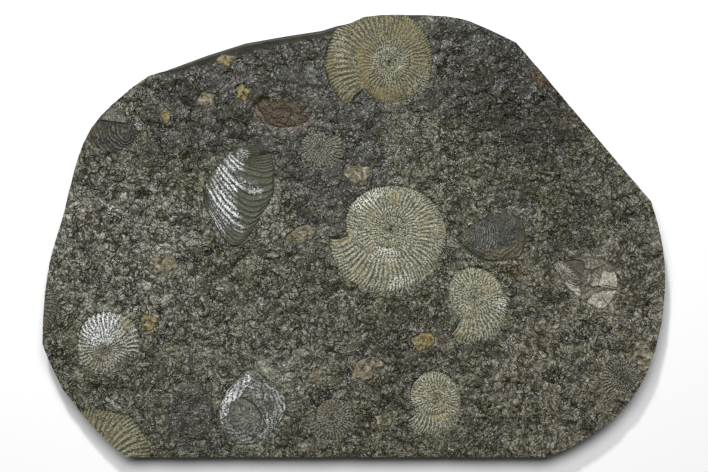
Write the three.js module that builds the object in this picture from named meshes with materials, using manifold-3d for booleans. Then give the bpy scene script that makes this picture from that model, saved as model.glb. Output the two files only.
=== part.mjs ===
// A sawn plate of dark shale with flattened ammonites, bivalves and bits of shell set in its bedding surface.
// Units are millimetres and +Z is up. The plate lies on z = 0 with the middle of its outline on the Z axis.
import * as THREE from "three";
import { mergeVertices } from "three/addons/utils/BufferGeometryUtils.js";
import Module from "manifold-3d";

const wasm = await Module();
wasm.setup();

// Levels and fits
const BEDDING_LEVEL = 15.4; // mean height of the bedding surface above the sawn back
const FOSSIL_SEAT = 13.6; // height of the undersides of the fossils
const SEAT_GAP = 0.3; // clearance between a fossil and its pocket
const POCKET_CORNERS = 22; // corners of the pocket of the largest coil
const ABOVE_ALL = 40; // a height over everything, where pockets and blocks end

// The plate's outline and sides
const CURVE_STEPS = 2; // points for each span of a curved edge
const ARRIS = 0.7; // how far a sawn edge leans in from the back to the face
const SLANTED_EDGE_LEAN = 3.2; // the same along the slanted upper left edge
const RELIEF_STEP = 13; // spacing of the relief's grid
const RELIEF_HEIGHT = 0.75; // half the height of the coarse lumps

const FULL_TURN = 2 * Math.PI;
const degrees = THREE.MathUtils.degToRad;

// Control points of the outline, counter-clockwise, in four stretches that meet at saw-cut corners.
const RIGHT_EDGE = [
  [105.1, -120.6], [118.2, -115.1], [137, -103.4], [152.6, -87.1], [164.4, -61.7], [169.7, -26.6],
  [167.2, 0.5], [161.8, 19],
];
const LEFT_EDGE = [
  [88.5, 105.6], [62.5, 117.4], [50, 119.9], [25, 120.8], [5.4, 119.7], [-17.4, 113.4], [-59.7, 106.4],
  [-98.8, 92.9], [-111.9, 87.4], [-132, 71.7], [-143.4, 58.6], [-151, 41.3], [-158.6, 10.9],
  [-166.2, -15.2], [-169.4, -45], [-169.7, -59.2],
];
const LOW_LEFT_EDGE = [[-169.7, -59.2], [-158.9, -82.9], [-138.2, -107.9], [-124, -120.6]];

// Coils: pole, aperture direction in degrees, way of winding towards it (1 is counter-clockwise), growth per turn
// inside the listed rim, ribs per turn and height over the bedding. The rim is a list of [turns before the
// aperture, radius]: crushing has made it uneven.
const COILS = {
  ammonite_top: {
    pole: [19, 94.7], aperture: 228, way: 1, growth: 1.95, ribs: 38, rise: 1.15, colour: 0x76735b,
    rim: [
      [0, 32.3], [-0.07, 34.2], [-0.13, 34.8], [-0.22, 33.4], [-0.38, 28.8], [-0.51, 25.5], [-0.63, 23.9],
      [-0.88, 22.8], [-0.93, 22.3], [-0.99, 19.8], [-1.06, 18.7], [-1.38, 14.7], [-1.63, 12.2], [-1.88, 10.6],
    ],
  },
  ammonite_centre: {
    pole: [19.8, 3.4], aperture: 188, way: -1, growth: 1.9, ribs: 40, rise: 1.3, colour: 0x838372,
    rim: [
      [0, 33.7], [-0.1, 35.8], [-0.23, 33.7], [-0.35, 31.2], [-0.48, 30.4], [-0.6, 26.6], [-0.73, 24.4],
      [-0.88, 25.2], [-0.96, 24.4], [-1, 22.8], [-1.1, 17.9], [-1.23, 16.3], [-1.48, 15.5], [-1.73, 13],
      [-1.97, 12],
    ],
  },
  ammonite_right: {
    pole: [65.4, -33], aperture: 238, way: -1, growth: 1.9, ribs: 28, rise: 1, colour: 0x7d7d6d,
    rim: [
      [0, 24.2], [-0.05, 25], [-0.11, 24.2], [-0.22, 22], [-0.26, 19.9], [-0.34, 17.4], [-0.47, 15.7],
      [-0.65, 16.6], [-0.76, 15.7], [-0.83, 14], [-1, 13.3], [-1.11, 11.9], [-1.34, 9.2], [-1.59, 9], [-1.83, 6.9],
    ],
  },
  ammonite_bottom: {
    pole: [44.7, -87.7], aperture: 218, way: -1, growth: 1.9, ribs: 28, rise: 1.05, colour: 0x7d7c6e,
    rim: [
      [0, 20.4], [-0.07, 21.4], [-0.21, 17.8], [-0.37, 13.9], [-0.5, 13.3], [-0.74, 14.9], [-0.97, 13.8],
      [-1, 12.8], [-1.07, 10.6], [-1.15, 9.6], [-1.3, 8.4], [-1.5, 7.6], [-1.9, 7.1],
    ],
  },
  ammonite_left: {
    pole: [-135.4, -61.1], aperture: 345, way: -1, growth: 1.8, ribs: 28, rise: 1.1, colour: 0x909084,
    rim: [
      [0, 18.5], [-0.06, 19.5], [-0.15, 21.2], [-0.21, 21.2], [-0.29, 20.1], [-0.41, 17.9], [-0.5, 15.2],
      [-0.62, 15.2], [-0.79, 12.9], [-0.93, 13], [-1, 12.2], [-1.25, 10.9], [-1.41, 9.8], [-1.6, 8.1], [-1.8, 7.1],
    ],
  },
  ammonite_corner: {
    pole: [-146.1, -125.4], aperture: -30, way: -1, growth: 1.9, ribs: 32, rise: 0.95, colour: 0x686756,
    rim: [[0, 35.5], [-0.11, 36.3], [-0.21, 36.8], [-0.26, 34], [-0.34, 31], [-0.42, 29], [-1, 18]],
  },
  ammonite_left_edge: {
    pole: [-178.6, -35.8], aperture: 150, way: -1, growth: 1.8, ribs: 28, rise: 0.6, colour: 0x56554a,
    rim: [[0, 21.7], [-0.3, 21.2], [-0.6, 17.4], [-1, 12.5]],
  },
  ammonite_dark: {
    pole: [146.1, -76.5], aperture: 235, way: 1, growth: 1.8, ribs: 20, rise: 0.9, colour: 0x5a574c,
    rim: [[0, 13.3], [-0.12, 11.9], [-0.34, 10.9], [-0.65, 8.7], [-0.9, 8.1], [-1, 7.6]],
  },
};
const LARGEST_COIL = 34; // radius of the largest coil near its aperture
const RIB_RELIEF = 0.32; // half the height from rib to furrow
const RIB_LEAN = degrees(2); // how far a rib's middle hangs back behind its ends
const RIB_END = 0.2; // how far a rib's end stands out of the rim

// Bivalves: outline points, counter-clockwise, the umbo that the growth ridges gather at, and their number.
const BIVALVES = {
  mussel_large: {
    outline: [
      [-50, 46.7], [-61.9, 48.3], [-71.7, 41.2], [-81.5, 27.1], [-80.9, 14.1], [-71.7, -1.1], [-65.7, -5.5],
      [-60.3, -2.2], [-50, 11.4], [-42.9, 24.9], [-44.5, 41.2],
    ],
    umbo: [-49, 43.5], ridges: 9, points: 16, rise: 1.5, colour: 0x6a6c61,
  },
  clam_bottom: {
    outline: [
      [-56.5, -72.2], [-67.9, -82.3], [-73.8, -97], [-67.9, -111], [-59.5, -113.8], [-48.9, -111],
      [-37.7, -98.5], [-36.4, -89.1], [-48.6, -76.6],
    ],
    umbo: [-52, -78], ridges: 5, points: 14, rise: 1.1, colour: 0x727468,
  },
  clam_right: {
    outline: [
      [139.6, -14.3], [124.3, -11.7], [108.1, -15.2], [113.7, -26.1], [127.3, -37.3], [135.2, -40.2], [143.7, -27.9],
    ],
    umbo: [117, -19.5], ridges: 5, points: 14, rise: 1.2, colour: 0x89867a,
  },
  clam_middle: {
    outline: [
      [78.6, 12.2], [66.8, 7.7], [55.9, -2.2], [71, -14.3], [84.5, -13.1], [90.7, -10.5], [93.3, -1.1], [90.4, 9.2],
    ],
    umbo: [62, 0.5], ridges: 5, points: 14, rise: 0.9, colour: 0x53544c,
  },
  clam_upper_left: {
    outline: [
      [-129.3, 70], [-137.4, 65.7], [-145.5, 53.2], [-133.2, 44.6], [-122.8, 48.5], [-117.6, 54.4],
    ],
    umbo: [-124, 58], ridges: 4, points: 12, rise: 0.8, colour: 0x505047,
  },
};
const GROWTH_RIDGE = 0.28; // half the height from ridge to groove

// Bits of shell: middle, width, height and turn in degrees, then the colour.
const SHELL_BITS = [
  [-38.6, 66.2, 22.8, 15.2, 0, 0x4f4839],
  [-27.7, 1.1, 14.1, 8.7, 20, 0x67634f],
  [-104.3, -16.3, 13, 10.9, 0, 0x737062],
  [6.5, -72.2, 15.2, 9.8, 25, 0x76715d],
  [37.5, -57, 9.8, 9.4, 0, 0x777158],
  [2.2, 33.6, 11.9, 9.8, -15, 0x6b6851],
  [-21.2, -77.1, 7, 8.7, 0, 0x6f6b59],
  [15.7, -99.9, 8.7, 7, 0, 0x6f6b59],
  [-79.8, 73.3, 7.6, 8.2, 0, 0x6f6b59],
  [-70, 95, 8.7, 5.4, 0, 0x7d7556],
  [-102.1, 65.1, 5.4, 8.1, 0, 0x77704f],
  [101.5, 86.3, 6, 14.1, 12, 0x5a4d36],
  [157.3, -66.2, 12, 11.2, 0, 0x7a766a],
  [139.6, -92.9, 6, 6, 0, 0x6a6e58],
  [-111.3, -46.7, 7.6, 8.7, 20, 0x7d6b4c],
  [-60.3, 77.6, 6.5, 7.6, 0, 0x77704f],
];
const BIT_RISE = 0.7;
const BIT_CORNERS = 6;

// Forms that belong to the rock: juvenile coils and the two ghost ammonites, as middle and radius.
const JUVENILES = [
  [123.3, -48.9, 8], [109.1, -72.8, 7], [99.9, -115.1, 5.2], [98.3, -97.7, 6.4], [136.3, 1.6, 5.2],
  [107, 18.5, 4.4], [73.3, -92.9, 6], [-89, 28.8, 5.2],
];
const GHOST_COILS = [[-19.1, 48.3, 13.6], [-12, -98, 14.5]];
const JUVENILE_RISE = 0.85;
const GHOST_RISE = 0.65;
const GHOST_RIBS = 14;

// Broad lumps and hollows: middle, reach along x and y, height.
const SWELLS = [
  [-53.8, 81.7, 42, 13, 0.55], [-89, -100, 14, 20, 0.45], [150, 8, 14, 9, 0.9], [-120, 12, 22, 30, 0.35],
  [120, -55, 30, 24, 0.4], [-20, -60, 34, 20, -0.5], [60, 60, 40, 16, -0.35], [10, -40, 24, 12, -0.4],
];
// Ledges: a point on the ledge, its direction in degrees, length, and height of the step to its left.
const LEDGES = [[153, 12.5, 20, 28, 0.9], [-30, 74, 170, 60, 0.5], [118, 40, 160, 50, 0.5]];
const LEDGE_WIDTH = 7;

const flat = ([x, y]) => new THREE.Vector2(x, y);

/** A repeatable number from 0 to 1 for a whole-number place. */
function scatter(column, row) {
  const value = Math.sin(column * 127.1 + row * 311.7) * 43758.5453;
  return value - Math.floor(value);
}

/** Points along a smooth curve through the given ones; a closed curve has no repeated end. */
function curvePoints(controls, count, closed) {
  const curve = new THREE.CatmullRomCurve3(
    controls.map(([x, y]) => new THREE.Vector3(x, y, 0)),
    closed,
    "centripetal",
  );
  const points = closed ? curve.getSpacedPoints(count).slice(0, -1) : curve.getPoints(count);
  return points.map((point) => new THREE.Vector2(point.x, point.y));
}

/** Unit normals that point out of a counter-clockwise outline, one for each point, with their mitre length. */
function outwardMitres(outline) {
  return outline.map((point, index) => {
    const before = outline.at(index - 1);
    const after = outline[(index + 1) % outline.length];
    const first = new THREE.Vector2(point.y - before.y, before.x - point.x).normalize();
    const second = new THREE.Vector2(after.y - point.y, point.x - after.x).normalize();
    return first.clone().add(second).divideScalar(1 + Math.max(first.dot(second), -0.5));
  });
}

/** An outline moved outwards by a distance, which may depend on the point. */
function grown(outline, distance) {
  const mitres = outwardMitres(outline);
  return outline.map((point, index) => point.clone().addScaledVector(mitres[index], distance(point)));
}

/** The manifold solid of a closed geometry. */
function solidFrom(geometry) {
  const bare = geometry.clone();
  bare.deleteAttribute("normal");
  bare.deleteAttribute("uv");
  const merged = mergeVertices(bare, 1e-4);
  const triVerts = new Uint32Array(merged.index.array);
  return new wasm.Manifold(
    new wasm.Mesh({ numProp: 3, vertProperties: merged.attributes.position.array, triVerts }),
  );
}

/** The geometry of a manifold solid, with flat faces. */
function geometryFrom(solid) {
  const { vertProperties, triVerts } = solid.getMesh();
  const indexed = new THREE.BufferGeometry();
  indexed.setAttribute("position", new THREE.BufferAttribute(vertProperties, 3));
  indexed.setIndex(new THREE.BufferAttribute(triVerts, 1));
  const geometry = indexed.toNonIndexed();
  geometry.computeVertexNormals();
  return geometry;
}

/** A solid from points and faces; a mirrored one has its faces turned round. */
function solidOfFaces(points, faces, mirrored = false) {
  const geometry = new THREE.BufferGeometry().setFromPoints(points);
  geometry.setIndex(faces.flatMap(([a, b, c]) => (mirrored ? [a, c, b] : [a, b, c])));
  return solidFrom(geometry);
}

/** Closes a top surface: drops its edge loop to the floor and caps the underside. */
function closeBelow(points, faces, loop, floor, mirrored = false) {
  const first = points.length;
  const rim = loop.map((index) => points[index]);
  points.push(...rim.map(({ x, y }) => new THREE.Vector3(x, y, floor)));
  loop.forEach((index, place) => {
    const next = (place + 1) % loop.length;
    faces.push([index, first + place, first + next], [index, first + next, loop[next]]);
  });
  const outline = rim.map(({ x, y }) => new THREE.Vector2(x, mirrored ? -y : y));
  const cap = THREE.ShapeUtils.triangulateShape(outline, []);
  faces.push(...cap.map(([a, b, c]) => [first + a, first + c, first + b]));
}

/** A solid between a lower and an upper outline with the same number of points. */
function lofted(lower, upper, floor, top) {
  const points = upper.map(({ x, y }) => new THREE.Vector3(x, y, top));
  const faces = THREE.ShapeUtils.triangulateShape(upper, []);
  const loop = upper.map((_, index) => index);
  closeBelow(points, faces, loop, floor);
  lower.forEach(({ x, y }, index) => points[upper.length + index].set(x, y, floor));
  return solidOfFaces(points, faces);
}

/** The hole that a fossil of the given outline sits in, from under its seat up into the air. */
function pocket(outline, clearance) {
  const wide = grown(outline, () => clearance);
  return lofted(wide, wide, FOSSIL_SEAT - SEAT_GAP, ABOVE_ALL);
}

// The plate

/** Smooth lumps on a square grid of repeatable heights, from -1 to 1. */
function lumps(x, y, size) {
  const column = Math.floor(x / size);
  const row = Math.floor(y / size);
  const across = THREE.MathUtils.smoothstep(x / size - column, 0, 1);
  const along = THREE.MathUtils.smoothstep(y / size - row, 0, 1);
  const lower = THREE.MathUtils.lerp(scatter(column, row), scatter(column + 1, row), across);
  const upper = THREE.MathUtils.lerp(scatter(column, row + 1), scatter(column + 1, row + 1), across);
  return 2 * THREE.MathUtils.lerp(lower, upper, along) - 1;
}

/** The step of one ledge at a place, faded out past its ends. */
function ledgeStep(x, y, [atX, atY, turn, length, height]) {
  const away = new THREE.Vector2(x - atX, y - atY).rotateAround(new THREE.Vector2(), -degrees(turn));
  const fade = 1 - THREE.MathUtils.smoothstep(Math.abs(away.x), length / 3, length);
  const near = Math.exp(-((away.y / (3 * LEDGE_WIDTH)) ** 2));
  return height * fade * near * THREE.MathUtils.smoothstep(away.y, -LEDGE_WIDTH / 2, LEDGE_WIDTH / 2);
}

/** Height of the bedding surface. */
function beddingHeight(x, y) {
  const rough = RELIEF_HEIGHT * (0.6 * lumps(x, y, 23) + 0.4 * lumps(x + 500, y, 9.5));
  const swell = SWELLS.map(
    ([atX, atY, wide, tall, height]) =>
      height * Math.exp(-(((x - atX) / wide) ** 2) - ((y - atY) / tall) ** 2),
  );
  const steps = LEDGES.map((ledge) => ledgeStep(x, y, ledge));
  return [...swell, ...steps].reduce((sum, part) => sum + part, BEDDING_LEVEL + rough);
}

/** The plate's outline at its back, which is where it is widest. */
function plateOutline() {
  return [
    ...curvePoints(RIGHT_EDGE, CURVE_STEPS * (RIGHT_EDGE.length - 1), false),
    ...curvePoints(LEFT_EDGE, CURVE_STEPS * (LEFT_EDGE.length - 1), false),
    ...curvePoints(LOW_LEFT_EDGE, CURVE_STEPS * (LOW_LEFT_EDGE.length - 1), false).slice(1),
  ];
}

/** How far the face stands in from the back at a point of the outline. */
function edgeLean({ x, y }) {
  const along = THREE.MathUtils.smoothstep(x, -112, -96) * (1 - THREE.MathUtils.smoothstep(x, -10, 8));
  return ARRIS + (y > 0 ? SLANTED_EDGE_LEAN * along : 0);
}

/** The plate's full block, with sawn sides, up to above the bedding surface. */
function sawnBlock() {
  const back = plateOutline();
  const face = grown(back, (point) => -edgeLean(point));
  return lofted(back, face, 0, BEDDING_LEVEL + 4);
}

/** A block whose top is the bedding surface. */
function beddingBlock() {
  const size = new THREE.Box2().setFromPoints(plateOutline()).getSize(new THREE.Vector2());
  const columns = Math.ceil(size.x / RELIEF_STEP) + 1;
  const rows = Math.ceil(size.y / RELIEF_STEP) + 1;
  const block = new THREE.BoxGeometry(columns * RELIEF_STEP, rows * RELIEF_STEP, 2, columns, rows, 1);
  const place = block.getAttribute("position");
  for (let index = 0; index < place.count; index++) {
    const isTop = place.getZ(index) > 0;
    place.setZ(index, isTop ? beddingHeight(place.getX(index), place.getY(index)) : -1);
  }
  return solidFrom(block);
}

/** A low round button with a dimple, for a juvenile coil that is part of the rock. */
function juvenileCoil([x, y, radius]) {
  const level = beddingHeight(x, y);
  const profile = [
    [0, -1.5], [radius, -1.5], [radius * 0.92, 0], [radius * 0.62, JUVENILE_RISE], [0, JUVENILE_RISE * 0.3],
  ].map(flat);
  const button = new THREE.LatheGeometry(profile, 8);
  button.rotateX(Math.PI / 2);
  button.translate(x, y, level);
  return solidFrom(button);
}

/** A low ribbed disc, for a coil that shows only faintly through the rock. */
function ghostCoil([x, y, radius]) {
  const level = beddingHeight(x, y);
  const points = [new THREE.Vector3(x, y, level + GHOST_RISE)];
  const faces = [];
  const columns = 2 * GHOST_RIBS;
  for (let column = 0; column < columns; column++) {
    const angle = (FULL_TURN * column) / columns;
    const onRib = column % 2 ? -RIB_RELIEF / 2 : RIB_RELIEF / 2;
    for (const [share, rise] of [[0.55, GHOST_RISE + onRib], [1, onRib - 0.1]]) {
      const reach = share * radius;
      points.push(new THREE.Vector3(x + reach * Math.cos(angle), y + reach * Math.sin(angle), level + rise));
    }
    const here = 1 + 2 * column;
    const next = 1 + 2 * ((column + 1) % columns);
    faces.push([0, here, next], [here, here + 1, next + 1], [here, next + 1, next]);
  }
  const loop = Array.from({ length: columns }, (_, column) => 2 + 2 * column);
  closeBelow(points, faces, loop, level - 1.5);
  return solidOfFaces(points, faces);
}

// The fossils

/** Radius of a coil's rim at a number of turns before its aperture: a smooth curve through the listed ones. */
function rimRadius({ rim, growth }, turns) {
  const [oldest, smallest] = rim.at(-1);
  if (turns <= oldest) return smallest * growth ** (turns - oldest);
  const next = Math.max(1, rim.findIndex(([listed]) => listed <= turns));
  const [from, to] = [rim[next], rim[next - 1]];
  const slope = (index) => {
    const [older, newer] = [rim[Math.min(index + 1, rim.length - 1)], rim[Math.max(index - 1, 0)]];
    return (newer[1] - older[1]) / (newer[0] - older[0]);
  };
  const span = to[0] - from[0];
  const share = (turns - from[0]) / span;
  const rest = 1 - share;
  const straight = from[1] * rest ** 2 * (1 + 2 * share) + to[1] * share ** 2 * (3 - 2 * share);
  return straight + span * share * rest * (slope(next) * rest - slope(next - 1) * share);
}

/** The place of a point of a coil: ribs lean forward as they near the rim. */
function coilPoint({ pole, aperture, way }, radius, turns, height, lean = 0) {
  const angle = degrees(aperture) + way * (FULL_TURN * turns + lean);
  return new THREE.Vector3(pole[0] + radius * Math.cos(angle), pole[1] + radius * Math.sin(angle), height);
}

/** The outline that a coil's pocket is cut to, with few corners, each outside the rib ends, and a notch. */
function coilOutline(coil) {
  const corners = Math.round(POCKET_CORNERS * Math.sqrt(coil.rim[0][1] / LARGEST_COIL));
  const bulge = 1 / Math.cos(Math.PI / corners);
  const outline = Array.from({ length: corners + 1 }, (_, corner) => {
    const turns = corner / corners - 1;
    const rim = rimRadius(coil, turns) + RIB_END;
    const { x, y } = coilPoint(coil, corner === corners ? rim : rim * bulge, turns, 0);
    return new THREE.Vector2(x, y);
  });
  return coil.way > 0 ? outline : outline.reverse();
}

/** A flattened ammonite: two ribbed whorls wound around a sunken middle, ending in an open aperture. */
function ammonite(coil) {
  const columns = 2 * coil.ribs;
  const last = 2 * columns;
  const crest = BEDDING_LEVEL + coil.rise;
  const points = [coilPoint(coil, 1e-3, 0, crest - 0.5)];
  const inner = (column) => (column < columns ? 0 : 2 + 2 * (column - columns));
  for (let column = 0; column <= last; column++) {
    const turns = (column - last) / columns;
    const rim = rimRadius(coil, turns);
    const seam = column < columns ? 0 : rimRadius(coil, turns - 1);
    const onRib = column % 2 ? -RIB_RELIEF : RIB_RELIEF;
    const isOuter = column >= last - columns;
    const fall = isOuter ? coil.rise - 0.15 : 0.45;
    const ribEnd = isOuter && !(column % 2) ? RIB_END : 0;
    points.push(coilPoint(coil, THREE.MathUtils.lerp(seam, rim, 0.52), turns, crest + onRib, -RIB_LEAN));
    points.push(coilPoint(coil, rim + ribEnd, turns, crest - fall + onRib * 0.8));
  }
  const faces = [];
  for (let column = 0; column < last; column++) {
    const here = 1 + 2 * column;
    const next = here + 2;
    const from = inner(column);
    faces.push([here, here + 1, next + 1], [here, next + 1, next]);
    if (column < columns - 1) faces.push([0, here, next]);
    else if (column === columns - 1) faces.push([0, here, 1], [1, here, 2], [here, next, 2]);
    else faces.push([from, here, next], [from, next, inner(column + 1)]);
  }
  const loop = Array.from({ length: columns + 1 }, (_, step) => 2 + 2 * (last - columns + step));
  loop.push(1 + 2 * last);
  const mirrored = coil.way < 0;
  closeBelow(points, faces, loop, FOSSIL_SEAT, mirrored);
  return solidOfFaces(points, faces, mirrored);
}

/** A bivalve: growth ridges one inside the other, gathered at the umbo, on a low dome. */
function bivalve({ outline, umbo, ridges, points: count, rise }) {
  const edge = curvePoints(outline, count, true);
  const middle = flat(umbo);
  const rings = 2 * ridges;
  const points = [new THREE.Vector3(middle.x, middle.y, BEDDING_LEVEL + rise)];
  const faces = [];
  for (let ring = 1; ring <= rings; ring++) {
    const share = ring / rings;
    const isRim = ring === rings;
    const onRidge = ring % 2 ? GROWTH_RIDGE : -GROWTH_RIDGE;
    const height = BEDDING_LEVEL + (isRim ? 0.1 : 0.25 + rise * (1 - share ** 2) + onRidge);
    edge.forEach((point) => {
      const spot = middle.clone().lerp(point, share);
      points.push(new THREE.Vector3(spot.x, spot.y, height));
    });
    for (let step = 0; step < count; step++) {
      const here = 1 + (ring - 1) * count + step;
      const next = 1 + (ring - 1) * count + ((step + 1) % count);
      if (ring === 1) faces.push([0, here, next]);
      else faces.push([here - count, here, next], [here - count, next, next - count]);
    }
  }
  const loop = edge.map((_, step) => 1 + (rings - 1) * count + step);
  closeBelow(points, faces, loop, FOSSIL_SEAT);
  return solidOfFaces(points, faces);
}

/** The uneven outline of a bit of shell. */
function bitOutline([x, y, width, height, turn], number) {
  const corners = Array.from({ length: BIT_CORNERS }, (_, corner) => {
    const angle = (FULL_TURN * (corner + 0.3 * scatter(corner, number))) / BIT_CORNERS;
    const reach = 0.4 + 0.1 * scatter(number, corner);
    return new THREE.Vector2(width * reach * Math.cos(angle), height * reach * Math.sin(angle));
  });
  const middle = new THREE.Vector2(x, y);
  return corners.map((corner) => corner.rotateAround(new THREE.Vector2(), degrees(turn)).add(middle));
}

/** A bit of shell: a low crowned flake. */
function shellBit(bit, number) {
  const outline = bitOutline(bit, number);
  const middle = new THREE.Vector2(bit[0], bit[1]);
  const points = [new THREE.Vector3(middle.x, middle.y, BEDDING_LEVEL + BIT_RISE)];
  const faces = [];
  outline.forEach((corner, index) => {
    const shoulder = middle.clone().lerp(corner, 0.65);
    const height = BEDDING_LEVEL + BIT_RISE * (0.6 + 0.6 * scatter(index, number + 7));
    points.push(new THREE.Vector3(shoulder.x, shoulder.y, height));
    points.push(new THREE.Vector3(corner.x, corner.y, BEDDING_LEVEL - 0.1));
    const here = 1 + 2 * index;
    const next = 1 + 2 * ((index + 1) % outline.length);
    faces.push([0, here, next], [here, here + 1, next + 1], [here, next + 1, next]);
  });
  const loop = outline.map((_, index) => 2 + 2 * index);
  closeBelow(points, faces, loop, FOSSIL_SEAT);
  return solidOfFaces(points, faces);
}

/** One named mesh. */
function piece(name, solid, material) {
  const mesh = new THREE.Mesh(geometryFrom(solid), material);
  mesh.name = name;
  return mesh;
}

function shaleMaterial() {
  return new THREE.MeshStandardMaterial({ color: 0x4c4c41, roughness: 0.7, metalness: 0 });
}

function fossilMaterial(color, roughness, metalness) {
  return new THREE.MeshStandardMaterial({ color, roughness, metalness });
}

/** Every fossil, cut off by the plate's sawn sides where it reaches them, with the hole it sits in. */
function fossils(block) {
  const coils = Object.entries(COILS).map(([name, coil]) => ({
    name,
    solid: ammonite(coil),
    hole: pocket(coilOutline(coil), SEAT_GAP),
    material: fossilMaterial(coil.colour, 0.5, 0.2),
  }));
  const shells = Object.entries(BIVALVES).map(([name, shell]) => ({
    name,
    solid: bivalve(shell),
    hole: pocket(curvePoints(shell.outline, shell.points, true), SEAT_GAP),
    material: fossilMaterial(shell.colour, 0.4, 0.2),
  }));
  const bits = SHELL_BITS.map((bit, number) => ({
    name: "shell_bit_" + String(number + 1).padStart(2, "0"),
    solid: shellBit(bit, number),
    hole: pocket(bitOutline(bit, number), SEAT_GAP),
    material: fossilMaterial(bit[5], 0.55, 0),
  }));
  return [...coils, ...shells, ...bits].map((fossil) => ({ ...fossil, solid: fossil.solid.intersect(block) }));
}

/** The plate, with its relief, its own low forms and a pocket for each fossil. */
function plate(block, set) {
  const lowForms = [...JUVENILES.map(juvenileCoil), ...GHOST_COILS.map(ghostCoil)];
  const relief = lowForms.reduce((whole, form) => whole.add(form), beddingBlock());
  return set.reduce((whole, { hole }) => whole.subtract(hole), relief.intersect(block));
}

const block = sawnBlock();
const set = fossils(block);
const cluster = new THREE.Group();
cluster.add(piece("shale_plate", plate(block, set), shaleMaterial()));
cluster.add(...set.map(({ name, solid, material }) => piece(name, solid, material)));

export default cluster;
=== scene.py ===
"""A sawn plate of dark shale with flattened ammonites, bivalves and shell hash on its bedding surface.

The plate lies on z = 0 with the middle of its outline on the Z axis. Sizes are in millimetres up to the point
where a mesh is written, which is in metres.
"""
import logging
import math
from dataclasses import dataclass
from enum import Enum

import bmesh
import bpy
import numpy as np
from bmesh.types import BMEdge, BMesh, BMVert
from bpy.types import Material, Mesh, NodeTree, Object
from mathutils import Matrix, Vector


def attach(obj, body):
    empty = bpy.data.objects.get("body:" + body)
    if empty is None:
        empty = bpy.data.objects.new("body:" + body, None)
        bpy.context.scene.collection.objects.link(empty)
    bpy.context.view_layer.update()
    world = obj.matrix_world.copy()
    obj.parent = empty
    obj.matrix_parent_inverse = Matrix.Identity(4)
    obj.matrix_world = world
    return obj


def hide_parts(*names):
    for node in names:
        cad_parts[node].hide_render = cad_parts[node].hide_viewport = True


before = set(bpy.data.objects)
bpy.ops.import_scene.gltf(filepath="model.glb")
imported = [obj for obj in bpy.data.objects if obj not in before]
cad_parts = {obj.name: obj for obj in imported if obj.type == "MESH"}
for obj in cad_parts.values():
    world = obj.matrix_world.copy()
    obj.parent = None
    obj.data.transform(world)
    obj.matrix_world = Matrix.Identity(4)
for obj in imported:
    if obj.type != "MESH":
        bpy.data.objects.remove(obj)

LOG = logging.getLogger("ammonite_plate")
MM = 0.001
FULL_TURN = 2 * math.pi

BEDDING_LEVEL = 15.4  # mean height of the bedding surface above the sawn back
FOSSIL_SEAT = 13.6  # height of the undersides of the fossils
THINNEST = 1.4  # least depth of a fossil below the bedding round it
HIGHEST = 17.35  # nothing stands higher than this
FACE_LEAN = 0.8  # how much of a side's lean the surface takes up; the rest is the CAD's own arris
BED_GAP = 0.1  # how far the rock lies below a fossil's underside
BED_EDGE = (-0.2, -1.6)  # distances from a fossil's outline over which the rock sinks away below it
BED_CALM = 0.6  # distance from a fossil within which the rock is fully calmed
BED_DROP = 0.05  # how far the calmed rock lies below the bedding level
BED_CRUMPLE = 0.8  # share of the crumple that the calmed rock keeps
RIB_SPREAD = 1.16  # how much the distance between ribs grows in a turn
RIB_BOW = math.radians(2.4)  # how far the ribs bow back between seam and rim
FIRST_TURNS = 0.4  # turns over which a coil opens from its very middle
SHELL_RIM = 0.35  # how far the rim of a bivalve starts below the bedding level
SHELL_STEP = 0.5  # how far it rises from there, before its dome
STRAYS = 3  # spots drawn for each fragment, as some fall on fossils or off the slab
HASH_MARGIN = 0.6  # how far the fragments stay from the slab's edge
HASH_HEADROOM = 0.5  # how far their spots stay below the highest level
HASH_OVERLAP = 0.55  # how near to a fossil they may lie, as a share of the largest one's half width
SMALL_BIAS = 1.8  # the higher, the more of the fragments are small
SHARP_EDGE = math.radians(50)  # edges that turn more than this stay sharp
MERGE_TRIMMED = 0.02  # trimmed points closer than this become one
SCATTER_STEPS = (127.1, 311.7)  # far from any fraction of a turn, so the scatter doesn't repeat
SCATTER_SPREAD = 43758.5453

Array = np.ndarray
Points = tuple[tuple[float, float], ...]
Spot = tuple[float, float, float]


class Slot(Enum):
    """The record's material slots."""

    SHALE = "shale"
    TAN_COIL = "tan_coil"
    PALE_COIL = "pale_coil"
    SILVER_COIL = "silver_coil"
    DARK_COIL = "dark_coil"
    SILVER_SHELL = "silver_shell"
    TAN_SHELL = "tan_shell"
    DARK_SHELL = "dark_shell"
    BROWN_SHELL = "brown_shell"
    OCHRE_SHELL = "ochre_shell"


# Repeatable roughness


def scatter(column: Array, row: Array) -> Array:
    """Repeatable numbers from 0 to 1 for whole-number places."""
    value = np.sin(column * SCATTER_STEPS[0] + row * SCATTER_STEPS[1]) * SCATTER_SPREAD
    return value - np.floor(value)


def smoothstep(low: float, high: float, value: Array) -> Array:
    """A smooth rise from 0 at low to 1 at high."""
    share = np.clip((value - low) / (high - low), 0, 1)
    return share * share * (3 - 2 * share)


def turned(x: Array, y: Array, degrees: float) -> tuple[Array, Array]:
    """Coordinates along axes turned by an angle."""
    angle = math.radians(degrees)
    return x * math.cos(angle) + y * math.sin(angle), y * math.cos(angle) - x * math.sin(angle)


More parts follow.
